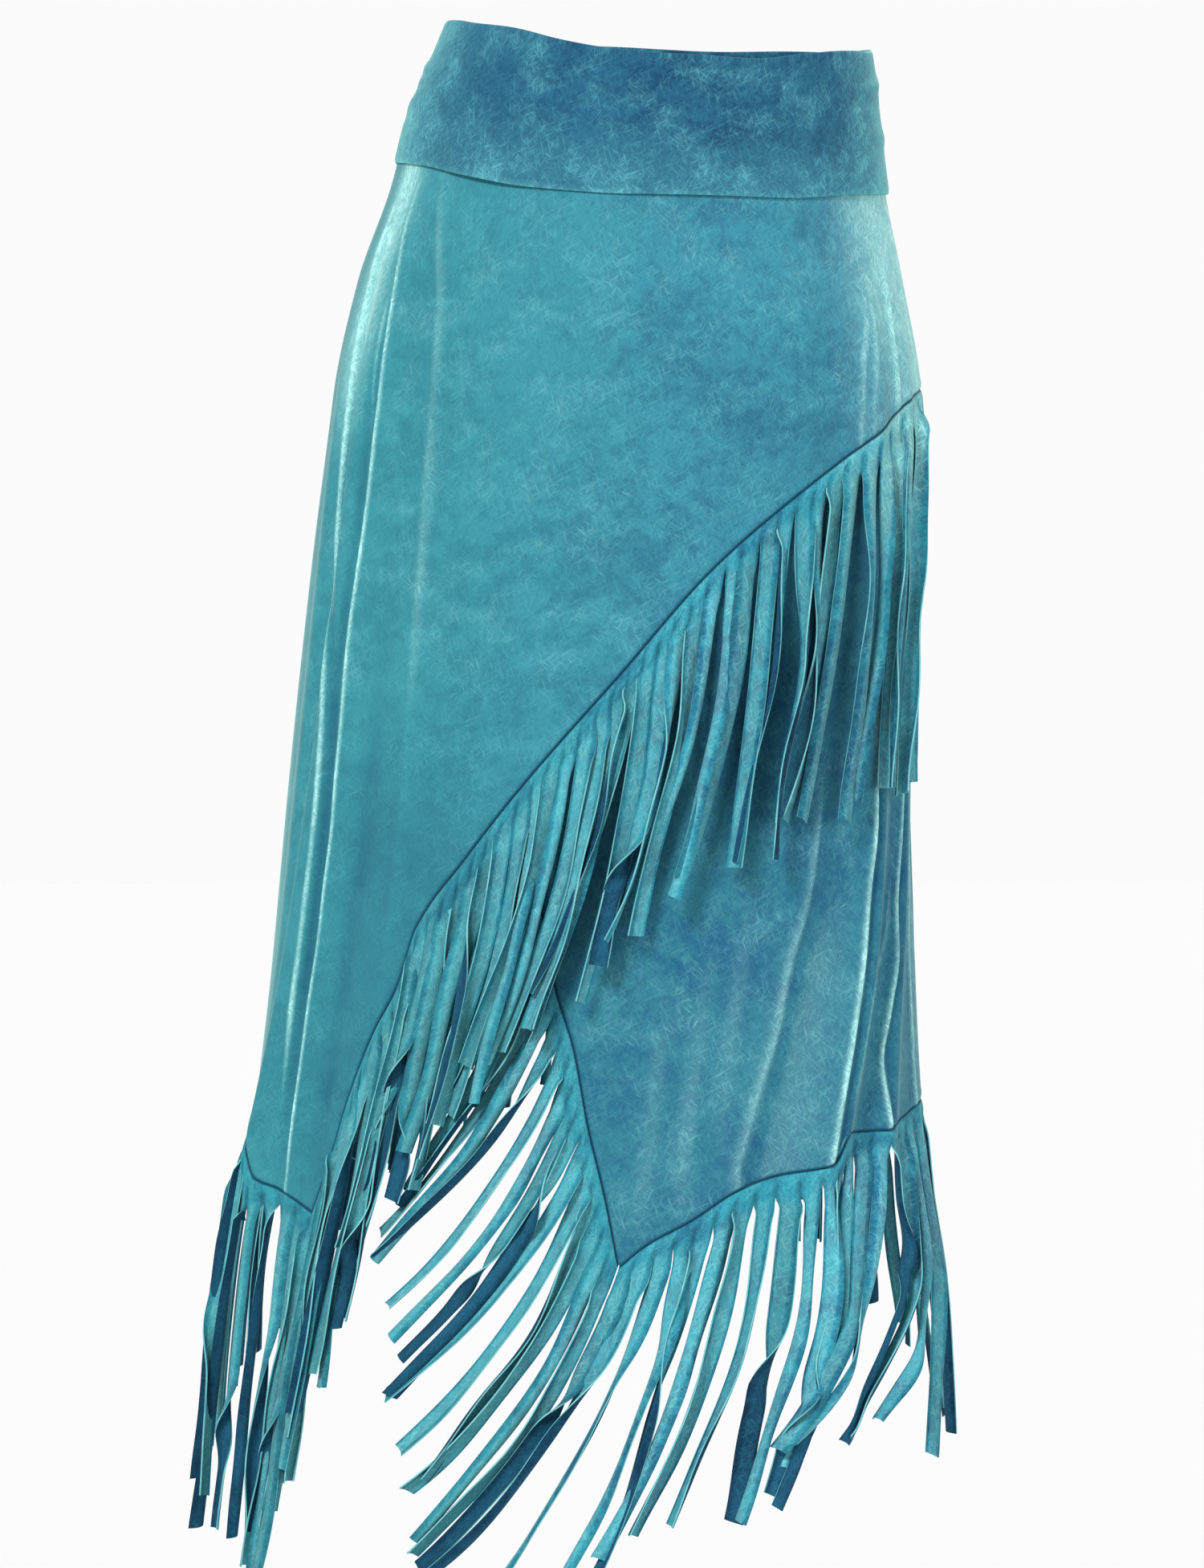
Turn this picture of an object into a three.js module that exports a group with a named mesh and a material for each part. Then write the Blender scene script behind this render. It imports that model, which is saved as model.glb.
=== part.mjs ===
// A wrap-front fringe skirt of washed jersey, hanging as worn, built from the pieces that a maker would cut:
// a fold-over waistband, a wrap front and an under front that cross over, a back, and five lengths of cut fringe.
// The form is a stack of ellipses with named folds on it. Every piece is a wall laid on that form.
import * as THREE from "three";

// Driving sizes in millimetres. +Z is up and the front faces -Y.
// The origin is the centre of the waist opening, level with the band's top edge at the right side seam.
const CLOTH = 1.2;
const SEAM_GAP = 0.3;
const WRAP_LIFT = 3.0;
const WRAP_LIFT_AT_SEAM = 2.0;
const WRAP_EASE = 60;
const FOLD_LOOP = 1.8;
const BAND_DRAPE = 4.4;
const BAND_OVERLAP = 14;
const BAND_COLUMNS = 64;
const STRIP = 15;
const STRIP_LONGEST = 27;
const PITCH = 16;
const STRAND_WIDTH = 9;
const STRAND_SHARE = 0.72;
const HEM_LEVEL = -750;
const LEFT_SEAM = -90;
const RIGHT_SEAM = 90;
const LEFT_SEAM_ROUND_THE_BACK = 270;
const RING_STEP = 0.5;
const SEAM_INSET = 0.07;
const EDGE_SAMPLES = 240;
const PATH_STEPS = 24;

// The form at each height: where its centre lies across, and how far it reaches from there.
const SECTIONS = [
  { height: -1060, centre: -50, half_width: 256, front: 162, back: 166 },
  { height: -850, centre: -49, half_width: 239, front: 151, back: 154 },
  { height: -740, centre: -47, half_width: 225, front: 145, back: 148 },
  { height: -620, centre: -43, half_width: 215, front: 140, back: 143 },
  { height: -500, centre: -37, half_width: 210, front: 136, back: 140 },
  { height: -350, centre: -27, half_width: 204, front: 132, back: 138 },
  { height: -240, centre: -19, half_width: 198, front: 129, back: 135 },
  { height: -160, centre: -17, half_width: 183, front: 124, back: 127 },
  { height: -100, centre: -12, half_width: 167, front: 118, back: 114 },
  { height: -45, centre: -7.5, half_width: 157.5, front: 111, back: 103 },
  { height: 0, centre: -1, half_width: 146.5, front: 104, back: 97 },
  { height: 30, centre: 1, half_width: 137, front: 99, back: 94 },
];

// Angles run round the form in degrees: 0 at the front, 90 at the seam on the picture's right, 180 at the back.
// A fold is a ridge that starts and grows to its full rise between two heights, and may fade out again.
// It runs from its first angle down to its angle at the hem, bowed by so many degrees half-way.
// These are in the wrap front alone, over an under front that hangs plain.
const WRAP_FOLDS = [
  { name: "left side, outer", start: -110, full: -300, fade: -900, end: -1100, rise: 6, left: 5, right: 4,
    angle: -75, hem_angle: -74, bow: 6 },
  { name: "left side, crest", start: -95, full: -280, fade: -820, end: -1000, rise: 13, left: 3.4, right: 9,
    angle: -62, hem_angle: -70, bow: 7.4 },
  { name: "left front, soft", start: -100, full: -380, fade: -700, end: -900, rise: 4, left: 7, right: 8,
    angle: -52, hem_angle: -41, bow: 6.5 },
  { name: "right hip, front", start: -130, full: -220, fade: -330, end: -480, rise: 3.5, left: 4, right: 4,
    angle: 58, hem_angle: 48, bow: 0 },
  { name: "right hip, side", start: -130, full: -220, fade: -330, end: -480, rise: 3.5, left: 4, right: 4,
    angle: 69, hem_angle: 66, bow: 0 },
];
// These are in whatever hangs there.
const SHARED_FOLDS = [
  { name: "under front, soft", start: -400, full: -620, fade: -900, end: -1100, rise: 5, left: 8, right: 5,
    angle: 49, hem_angle: 27, bow: 3.2 },
  { name: "under front, crest", start: -420, full: -640, fade: -860, end: -1050, rise: 12, left: 8, right: 3.6,
    angle: 64, hem_angle: 45.5, bow: 4.5 },
  { name: "right side", start: -430, full: -620, fade: -900, end: -1100, rise: 6, left: 4, right: 4,
    angle: 83, hem_angle: 62, bow: 1.3 },
  { name: "right seam", start: -430, full: -640, fade: -900, end: -1100, rise: 5, left: 5, right: 6,
    angle: 99, hem_angle: 84, bow: 0 },
  { name: "back, right", start: -260, full: -600, fade: -900, end: -1100, rise: 8, left: 7, right: 9,
    angle: 122, hem_angle: 118, bow: 2 },
  { name: "back, right of centre", start: -320, full: -620, fade: -900, end: -1100, rise: 7, left: 9, right: 7,
    angle: 152, hem_angle: 150, bow: -2 },
  { name: "back, centre", start: -300, full: -640, fade: -900, end: -1100, rise: 5, left: 8, right: 10,
    angle: 178, hem_angle: 182, bow: 2 },
  { name: "back, left of centre", start: -280, full: -600, fade: -900, end: -1100, rise: 8, left: 8, right: 8,
    angle: 206, hem_angle: 214, bow: 0 },
  { name: "back, left", start: -240, full: -600, fade: -900, end: -1100, rise: 9, left: 9, right: 6,
    angle: 238, hem_angle: 246, bow: -2 },
];

// The waistband's edges, all round.
const BAND_TOP = [
  { angle: -90, height: 19 },
  { angle: -68, height: 14.7 },
  { angle: -55, height: 9.3 },
  { angle: -40, height: 2.5 },
  { angle: -24, height: -7.4 },
  { angle: -8, height: -15 },
  { angle: 5, height: -18.5 },
  { angle: 25, height: -19.3 },
  { angle: 42, height: -14 },
  { angle: 60, height: -8 },
  { angle: 90, height: 0 },
  { angle: 135, height: 8 },
  { angle: 180, height: 14 },
  { angle: 225, height: 18 },
  { angle: 270, height: 19 },
];
const BAND_BOTTOM = [
  { angle: -90, height: -77 },
  { angle: -61, height: -86 },
  { angle: -41, height: -98 },
  { angle: -25, height: -107 },
  { angle: 0, height: -113 },
  { angle: 31, height: -113.5 },
  { angle: 55, height: -108 },
  { angle: 79, height: -101.5 },
  { angle: 90, height: -99 },
  { angle: 135, height: -92 },
  { angle: 180, height: -88 },
  { angle: 225, height: -81 },
  { angle: 270, height: -77 },
];

// The lower edges of the panels, where the fringe is sewn on.
const WRAP_HEM = [
  { angle: -90, height: -711 },
  { angle: -82, height: -712 },
  { angle: -74, height: -723 },
  { angle: -67, height: -768 },
  { angle: -61, height: -774 },
  { angle: -50.7, height: -788 },
];
const WRAP_DIAGONAL = [
  { angle: -50.7, height: -788 },
  { angle: -47.8, height: -756 },
  { angle: -44.4, height: -713 },
  { angle: -39.8, height: -668 },
  { angle: -35.4, height: -636 },
  { angle: -32.6, height: -598 },
  { angle: -23.7, height: -551 },
  { angle: -14.3, height: -505 },
  { angle: 1.3, height: -435 },
  { angle: 17.1, height: -365 },
  { angle: 29, height: -327 },
  { angle: 42.8, height: -293 },
  { angle: 56.8, height: -266 },
  { angle: 69.7, height: -243 },
  { angle: 90, height: -230 },
];
const UNDER_EDGE = [
  { angle: -90, height: -420 },
  { angle: -60, height: -452 },
  { angle: -30, height: -505 },
  { angle: -16, height: -548 },
  { angle: -9.6, height: -584 },
  { angle: -5.9, height: -640 },
  { angle: -2.5, height: -677 },
  { angle: 0.5, height: -730 },
  { angle: 3.5, height: -776 },
  { angle: 5.7, height: -820 },
];
const UNDER_HEM = [
  { angle: 5.7, height: -820 },
  { angle: 10, height: -806 },
  { angle: 17, height: -791 },
  { angle: 26, height: -770 },
  { angle: 33, height: -762 },
  { angle: 44, height: -755 },
  { angle: 50.5, height: -735 },
  { angle: 61, height: -735 },
  { angle: 69, height: -730 },
  { angle: 78, height: -724 },
  { angle: 90, height: -714 },
];
const BACK_HEM = [
  { angle: 90, height: -714 },
  { angle: 104, height: -692 },
  { angle: 125, height: -632 },
  { angle: 150, height: -538 },
  { angle: 180, height: -485 },
  { angle: 210, height: -536 },
  { angle: 236, height: -630 },
  { angle: 256, height: -692 },
  { angle: 270, height: -711 },
];

// How each fringe hangs. The rows go from the start of its edge, at 0, to its end, at 1. Leans are degrees from
// straight down, towards a greater angle; lift is how far the tips stand off the form, spread sets every second
// strand further out, and stray is the most that a strand's lean departs from its neighbours'.
const WRAP_HEM_HANG = [
  { at: 0, lean_root: 0, lean_tip: 2, length: 206, lift: 4, spread: 2.4, stray: 0.8 },
  { at: 0.5, lean_root: 0, lean_tip: 2, length: 216, lift: 4, spread: 2.4, stray: 0.8 },
  { at: 1, lean_root: 0, lean_tip: 0, length: 222, lift: 4, spread: 2.4, stray: 0.4 },
];
const WRAP_DIAGONAL_HANG = [
  { at: 0, lean_root: -1, lean_tip: -3, length: 226, lift: 8, spread: 3, stray: 0.2 },
  { at: 0.2, lean_root: 0, lean_tip: -3, length: 216, lift: 8, spread: 3, stray: 0.2 },
  { at: 0.3, lean_root: -1, lean_tip: -6, length: 188, lift: 9, spread: 3, stray: 0.3 },
  { at: 0.42, lean_root: -4, lean_tip: -13, length: 186, lift: 10, spread: 3, stray: 0.5 },
  { at: 0.55, lean_root: -5, lean_tip: -17, length: 206, lift: 10, spread: 3, stray: 0.6 },
  { at: 0.7, lean_root: -3, lean_tip: -11, length: 212, lift: 10, spread: 3, stray: 0.8 },
  { at: 0.85, lean_root: -2, lean_tip: -8, length: 226, lift: 10, spread: 3, stray: 1.0 },
  { at: 0.95, lean_root: 0, lean_tip: -3, length: 250, lift: 10, spread: 3, stray: 1.0 },
  { at: 1, lean_root: 0, lean_tip: 0, length: 256, lift: 10, spread: 3, stray: 0.8 },
];
const UNDER_EDGE_HANG = [
  { at: 0, lean_root: 0, lean_tip: 4, length: 150, lift: 0, spread: 0, stray: 0 },
  { at: 0.56, lean_root: -20, lean_tip: -42, length: 180, lift: 0, spread: 0, stray: 0 },
  { at: 0.7, lean_root: -24, lean_tip: -49, length: 190, lift: 1, spread: 2.4, stray: 0.4 },
  { at: 0.88, lean_root: -24, lean_tip: -49, length: 208, lift: 3, spread: 2.6, stray: 0.5 },
  { at: 1, lean_root: -22, lean_tip: -48, length: 228, lift: 4, spread: 2.6, stray: 0.5 },
];
const UNDER_HEM_HANG = [
  { at: 0, lean_root: -22, lean_tip: -48, length: 232, lift: 6, spread: 3, stray: 0.8 },
  { at: 0.12, lean_root: -18, lean_tip: -40, length: 230, lift: 6, spread: 3, stray: 1.5 },
  { at: 0.25, lean_root: -15, lean_tip: -28, length: 226, lift: 6, spread: 3, stray: 1.8 },
  { at: 0.4, lean_root: -14, lean_tip: -22, length: 220, lift: 6, spread: 3, stray: 1.8 },
  { at: 0.62, lean_root: -12, lean_tip: -20, length: 212, lift: 6, spread: 3, stray: 1.8 },
  { at: 0.78, lean_root: -4, lean_tip: -24, length: 208, lift: 6, spread: 3, stray: 1.8 },
  { at: 0.9, lean_root: 0, lean_tip: -6, length: 206, lift: 4, spread: 2.4, stray: 0.8 },
  { at: 1, lean_root: 0, lean_tip: 0, length: 212, lift: 3, spread: 2.4, stray: 0.4 },
];
const BACK_HANG = [
  { at: 0, lean_root: 0, lean_tip: 0, length: 210, lift: 3, spread: 2.4, stray: 0.4 },
  { at: 0.5, lean_root: 0, lean_tip: 2, length: 212, lift: 5, spread: 3, stray: 1.8 },
  { at: 1, lean_root: 0, lean_tip: 0, length: 208, lift: 4, spread: 2.4, stray: 0.4 },
];

const WASHED_TEAL = 0x3d9fb3;
const DEEP_BAND_TEAL = 0x2f84ab;
const UNDER_TEAL = 0x3896ad;
const STRAND_TEAL = 0x44aab4;

// Slope of a table's column at one row, kept flat at a high or low point so that the curve never overshoots.
function slopeAt(table, row, key, column) {
  const rise = (a, b) => (table[b][column] - table[a][column]) / (table[b][key] - table[a][key]);
  if (row === 0) return rise(0, 1);
  if (row === table.length - 1) return rise(row - 1, row);
  const before = rise(row - 1, row);
  const after = rise(row, row + 1);
  return before * after <= 0 ? 0 : (2 * before * after) / (before + after);
}

// The value of a column at a place between two rows, on a smooth curve through all of them.
function smoothValue(table, key, column, place) {
  const last = table.length - 1;
  const held = THREE.MathUtils.clamp(place, table[0][key], table[last][key]);
  let row = 0;
  while (row < last - 1 && held > table[row + 1][key]) row += 1;
  const span = table[row + 1][key] - table[row][key];
  const t = (held - table[row][key]) / span;
  const start = table[row][column];
  const end = table[row + 1][column];
  const leave = slopeAt(table, row, key, column) * span;
  const arrive = slopeAt(table, row + 1, key, column) * span;
  return (
    start * (2 * t ** 3 - 3 * t ** 2 + 1) +
    leave * (t ** 3 - 2 * t ** 2 + t) +
    end * (-2 * t ** 3 + 3 * t ** 2) +
    arrive * (t ** 3 - t ** 2)
  );
}

// 0 before the first place, 1 past the second, and smooth between them, whichever way the places run.
function easeBetween(first, second, place) {
  const t = THREE.MathUtils.clamp((place - first) / (second - first), 0, 1);
  return t * t * (3 - 2 * t);
}

const onRing = (angle) => THREE.MathUtils.euclideanModulo(angle - LEFT_SEAM, 360) + LEFT_SEAM;
const edgeHeight = (edge, angle) => smoothValue(edge, "angle", "height", angle);

// How far some folds stand out at a place on the form.
function foldRise(folds, angle, height) {
  let total = 0;
  for (const fold of folds) {
    const grown = easeBetween(fold.start, fold.full, height) * (1 - easeBetween(fold.fade, fold.end, height));
    if (grown === 0) continue;
    const down = THREE.MathUtils.clamp((fold.start - height) / (fold.start - HEM_LEVEL), 0, 1.1);
    const crest = fold.angle + (fold.hem_angle - fold.angle) * down + fold.bow * 4 * down * (1 - down);
    const away = THREE.MathUtils.euclideanModulo(angle - crest + 180, 360) - 180;
    const width = away < 0 ? fold.left : fold.right;
    total += fold.rise * grown * Math.exp(-((away / width) ** 2));
  }
  return total;
}

// A point on the form, moved out by lift along the form's own normal.
function skin(angle, height, lift) {
  const turn = THREE.MathUtils.degToRad(angle);
  const across = Math.sin(turn);
  const ahead = Math.cos(turn);
  const centre = smoothValue(SECTIONS, "height", "centre", height);
  const halfWidth = smoothValue(SECTIONS, "height", "half_width", height);
  const halfDepth = smoothValue(SECTIONS, "height", ahead > 0 ? "front" : "back", height);
  const normal = new THREE.Vector3(across / halfWidth, -ahead / halfDepth, 0).normalize();
  const out = lift + foldRise(SHARED_FOLDS, onRing(angle), height);
  return new THREE.Vector3(centre + halfWidth * across, -halfDepth * ahead, height).addScaledVector(normal, out);
}

// Millimetres along the form for one degree round it.
function degreeLength(angle, height) {
  const before = skin(angle - RING_STEP, height, 0);
  const after = skin(angle + RING_STEP, height, 0);
  return before.distanceTo(after) / (2 * RING_STEP);
}

// A repeatable value from -1 to 1 for each strand.
function stray(index, kind) {
  const mixed = Math.sin(index * 12.9898 + kind * 78.233) * 43758.5453;
  return 2 * (mixed - Math.floor(mixed)) - 1;
}

// Collects points and faces, and gives them back as one closed geometry.
class Wall {
  constructor() {
    this.positions = [];
    this.faces = [];
  }
  point(vector) {
    this.positions.push(vector.x, vector.y, vector.z);
    return this.positions.length / 3 - 1;
  }
  triangle(a, b, c) {
    this.faces.push(a, b, c);
  }
  quad(a, b, c, d) {
    this.triangle(a, b, c);
    this.triangle(a, c, d);
  }
  geometry() {
    const made = new THREE.BufferGeometry();
    made.setAttribute("position", new THREE.Float32BufferAttribute(this.positions, 3));
    made.setIndex(this.faces);
    made.computeVertexNormals();
    return made;
  }
}

// Places along a panel's lower edge, evenly spaced by length, with so many to each strand of its fringe.
function spacedEdge(edge, perStrand, liftAt) {
  const first = edge[0].angle + SEAM_INSET;
  const last = edge[edge.length - 1].angle - SEAM_INSET;
  const samples = [];
  let run = 0;
  let before = null;
  for (let k = 0; k <= EDGE_SAMPLES; k += 1) {
    const angle = first + ((last - first) * k) / EDGE_SAMPLES;
    const height = edgeHeight(edge, angle);
    const place = skin(angle, height, liftAt(angle, height));
    if (before) run += place.distanceTo(before);
    samples.push({ angle, run });
    before = place;
  }
  const strands = Math.round(run / PITCH);
  const angleAt = (share) => {
    const wanted = share * run;
    let k = 0;
    while (k < EDGE_SAMPLES - 1 && samples[k + 1].run < wanted) k += 1;
    const from = samples[k];
    const to = samples[k + 1];
    return THREE.MathUtils.lerp(from.angle, to.angle, (wanted - from.run) / (to.run - from.run));
  };
  const steps = strands * perStrand;
  const columns = Array.from({ length: steps + 1 }, (_, k) => ({ at: k / steps, angle: angleAt(k / steps) }));
  return { edge, strands, angleAt, columns };
}

// The height at which the panels are sewn to the inner layer of the band, hidden under its outer layer.
const seamHeight = (angle) => edgeHeight(BAND_BOTTOM, onRing(angle)) + BAND_OVERLAP;

// The wrap front lies close to the under front at the waist seam and eases away from it below, with its own folds.
function wrapLift(angle, height) {
  const below = seamHeight(angle) - height;
  const eased = THREE.MathUtils.lerp(WRAP_LIFT_AT_SEAM, WRAP_LIFT, easeBetween(0, WRAP_EASE, below));
  return eased + foldRise(WRAP_FOLDS, angle, height);
}
const onForm = () => 0;

const wrapHemEdge = spacedEdge(WRAP_HEM, 2, wrapLift);
const wrapDiagonalEdge = spacedEdge(WRAP_DIAGONAL, 1, wrapLift);
const underEdge = spacedEdge(UNDER_EDGE, 1, onForm);
const underHemEdge = spacedEdge(UNDER_HEM, 2, onForm);
const backHemEdge = spacedEdge(BACK_HEM, 1, onForm);

// A panel of cloth from the waist seam down to one or two spaced edges.
function panelGeometry(edges, rows, liftAt) {
  const wall = new Wall();
  const columns = edges.flatMap(({ edge, columns: spaced }, which) =>
    spaced.slice(which === 0 ? 0 : 1).map(({ angle }) => ({ angle, bottom: edgeHeight(edge, angle) })),
  );
  const layer = (depth) =>
    columns.map(({ angle, bottom }) => {
      const top = seamHeight(angle) - SEAM_GAP;
      return Array.from({ length: rows + 1 }, (_, row) => {
        const height = THREE.MathUtils.lerp(top, bottom, (row / rows) ** 1.25);
        return wall.point(skin(angle, height, liftAt(angle, height) + depth));
      });
    });
  const outer = layer(CLOTH);
  const inner = layer(0);
  const last = columns.length - 1;
  for (let c = 0; c < last; c += 1) {
    for (let r = 0; r < rows; r += 1) {
      wall.quad(outer[c][r], outer[c][r + 1], outer[c + 1][r + 1], outer[c + 1][r]);
      wall.quad(inner[c][r], inner[c + 1][r], inner[c + 1][r + 1], inner[c][r + 1]);
    }
    wall.quad(outer[c][0], outer[c + 1][0], inner[c + 1][0], inner[c][0]);
    wall.quad(outer[c][rows], inner[c][rows], inner[c + 1][rows], outer[c + 1][rows]);
  }
  for (let r = 0; r < rows; r += 1) {
    wall.quad(outer[0][r], inner[0][r], inner[0][r + 1], outer[0][r + 1]);
    wall.quad(outer[last][r], outer[last][r + 1], inner[last][r + 1], inner[last][r]);
  }
  return wall.geometry();
}

// The band folds over itself: an inner layer from the waist seam up, a loop at the top, and an outer layer down.
function waistbandGeometry() {
  const wall = new Wall();
  const gap = FOLD_LOOP - CLOTH;
  const outerLift = (share) => THREE.MathUtils.lerp(FOLD_LOOP, BAND_DRAPE, share);
  const rings = Array.from({ length: BAND_COLUMNS }, (_, column) => {
    const angle = LEFT_SEAM + (360 * column) / BAND_COLUMNS;
    const top = edgeHeight(BAND_TOP, angle);
    const bottom = edgeHeight(BAND_BOTTOM, angle);
    const seam = seamHeight(angle);
    const loop = FOLD_LOOP + CLOTH;
    const at = (from, to, share) => THREE.MathUtils.lerp(from, to, share);
    const section = [
      [seam, 0],
      [at(seam, top - loop, 1 / 3), 0],
      [at(seam, top - loop, 2 / 3), 0],
      [top - loop, 0],
      [top - 0.3 * loop, 0.15 * loop],
      [top, 0.5 * loop],
      [top - 0.3 * loop, 0.85 * loop],
      [top - loop, loop],
      [at(top, bottom, 1 / 3), outerLift(1 / 3) + CLOTH],
      [at(top, bottom, 2 / 3), outerLift(2 / 3) + CLOTH],
      [bottom, BAND_DRAPE + CLOTH],
      [bottom, BAND_DRAPE],
      [at(top, bottom, 2 / 3), outerLift(2 / 3)],
      [at(top, bottom, 1 / 3), outerLift(1 / 3)],
      [top - loop - gap, FOLD_LOOP],
      [top - loop, CLOTH + gap / 2],
      [top - loop - gap, CLOTH],
      [at(seam, top - loop, 2 / 3), CLOTH],
      [at(seam, top - loop, 1 / 3), CLOTH],
      [seam, CLOTH],
    ];
    return section.map(([height, lift]) => wall.point(skin(angle, height, lift)));
  });
  rings.forEach((ring, column) => {
    const next = rings[(column + 1) % BAND_COLUMNS];
    ring.forEach((corner, k) => {
      const after = (k + 1) % ring.length;
      wall.quad(corner, ring[after], next[after], next[k]);
    });
  });
  return wall.geometry();
}

// One value of a hang table, part-way along its edge.
const hangValue = (hang, column, at) => smoothValue(hang, "at", column, at);

// How fast a strand's perpendicular spacing shrinks, where its edge runs close to the way it hangs.
function crossing(spaced, at, lean) {
  const step = 0.01;
  const from = spaced.angleAt(Math.max(at - step, 0));
  const to = spaced.angleAt(Math.min(at + step, 1));
  const middle = spaced.angleAt(at);
  const across = (to - from) * degreeLength(middle, edgeHeight(spaced.edge, middle));
  const up = edgeHeight(spaced.edge, to) - edgeHeight(spaced.edge, from);
  const along = Math.hypot(across, up);
  const turn = THREE.MathUtils.degToRad(lean);
  return Math.abs((across / along) * -Math.cos(turn) - (up / along) * Math.sin(turn));
}

// A place moved over the form by so many millimetres, leaning from straight down.
function moved(place, distance, lean) {
  const turn = THREE.MathUtils.degToRad(lean);
  return {
    angle: place.angle + (distance * Math.sin(turn)) / degreeLength(place.angle, place.height),
    height: place.height - distance * Math.cos(turn),
  };
}

// The centre line of one strand, from the strip's lower edge to its tip.
function strandPath(root, hang, at, index, steps) {
  const length = hangValue(hang, "length", at) * (1 + 0.035 * stray(index, 1));
  const wander = hangValue(hang, "stray", at) * stray(index, 2);
  const leanRoot = hangValue(hang, "lean_root", at);
  const leanTip = hangValue(hang, "lean_tip", at) + 2 * wander;
  const path = [{ ...root, lean: leanRoot, share: 0 }];
  let place = root;
  const every = PATH_STEPS / steps;
  for (let k = 1; k <= PATH_STEPS; k += 1) {
    const share = k / PATH_STEPS;
    const lean = THREE.MathUtils.lerp(leanRoot, leanTip, share);
    place = moved(place, length / PATH_STEPS, lean);
    if (k % every === 0) path.push({ ...place, lean, share });
  }
  return path;
}

// A strip of cloth sewn along an edge and cut into strands that hang from it.
function fringeGeometry(spaced, hang, liftAt, steps) {
  const wall = new Wall();
  const stripPlace = (at, angle, depth) => {
    const lean = hangValue(hang, "lean_root", at);
    const share = Math.max(crossing(spaced, at, lean), STRIP / STRIP_LONGEST);
    return moved({ angle, height: edgeHeight(spaced.edge, angle) }, depth / share, lean);
  };
  const bothSides = (place, lift) => ({
    outer: wall.point(skin(place.angle, place.height, lift + CLOTH)),
    inner: wall.point(skin(place.angle, place.height, lift)),
  });
  const top = spaced.columns.map(({ at, angle }) => {
    const place = stripPlace(at, angle, SEAM_GAP);
    return { at, ...bothSides(place, liftAt(place.angle, place.height)) };
  });
  const bottom = [];
  const rowOf = (at) => {
    const place = stripPlace(at, spaced.angleAt(at), STRIP);
    const sides = bothSides(place, liftAt(place.angle, place.height));
    bottom.push({ at, ...sides });
    return { place, ...sides };
  };
  for (let index = 0; index < spaced.strands; index += 1) {
    const margin = 0.08;
    const left = rowOf((index + margin) / spaced.strands);
    const right = rowOf((index + 1 - margin) / spaced.strands);
    const at = (index + 0.5) / spaced.strands;
    const root = {
      angle: (left.place.angle + right.place.angle) / 2,
      height: (left.place.height + right.place.height) / 2,
    };
    const spread = (index % 2) * hangValue(hang, "spread", at);
    const tipLift = hangValue(hang, "lift", at) + spread;
    const rootLift = liftAt(root.angle, root.height);
    const lean = hangValue(hang, "lean_root", at);
    const closest = Math.min(crossing(spaced, at, lean), crossing(spaced, at, hangValue(hang, "lean_tip", at)));
    const width = Math.min(STRAND_WIDTH, STRAND_SHARE * PITCH * closest);
    let before = { left, right };
    for (const place of strandPath(root, hang, at, index, steps).slice(1)) {
      const lift = THREE.MathUtils.lerp(rootLift, Math.max(tipLift, rootLift), easeBetween(0, 0.75, place.share));
      const side = (way) => bothSides(moved(place, (way * width) / 2, place.lean + 90), lift);
      const now = { left: side(-1), right: side(1) };
      wall.quad(before.left.outer, now.left.outer, now.right.outer, before.right.outer);
      wall.quad(before.left.inner, before.right.inner, now.right.inner, now.left.inner);
      wall.quad(before.left.outer, before.left.inner, now.left.inner, now.left.outer);
      wall.quad(before.right.outer, now.right.outer, now.right.inner, before.right.inner);
      before = now;
    }
    wall.quad(before.left.outer, before.left.inner, before.right.inner, before.right.outer);
  }
  stripFaces(wall, top, bottom);
  return wall.geometry();
}

// The strip's own faces, between its sewn edge and the row of strand roots.
function stripFaces(wall, top, bottom) {
  let t = 0;
  let b = 0;
  while (t < top.length - 1 || b < bottom.length - 1) {
    const nextTop = t < top.length - 1 ? top[t + 1].at : Infinity;
    const nextBottom = b < bottom.length - 1 ? bottom[b + 1].at : Infinity;
    if (nextTop < nextBottom) {
      wall.triangle(top[t].outer, bottom[b].outer, top[t + 1].outer);
      wall.triangle(top[t].inner, top[t + 1].inner, bottom[b].inner);
      wall.quad(top[t].outer, top[t + 1].outer, top[t + 1].inner, top[t].inner);
      t += 1;
    } else {
      wall.triangle(top[t].outer, bottom[b].outer, bottom[b + 1].outer);
      wall.triangle(top[t].inner, bottom[b + 1].inner, bottom[b].inner);
      if (b % 2 === 1) {
        wall.quad(bottom[b].outer, bottom[b].inner, bottom[b + 1].inner, bottom[b + 1].outer);
      }
      b += 1;
    }
  }
  const lastTop = top[top.length - 1];
  const lastBottom = bottom[bottom.length - 1];
  wall.quad(top[0].outer, top[0].inner, bottom[0].inner, bottom[0].outer);
  wall.quad(lastTop.outer, lastBottom.outer, lastBottom.inner, lastTop.inner);
}

function cloth(name, geometry, color) {
  const mesh = new THREE.Mesh(geometry, new THREE.MeshStandardMaterial({ color, roughness: 0.9, metalness: 0 }));
  mesh.name = name;
  return mesh;
}

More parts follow.
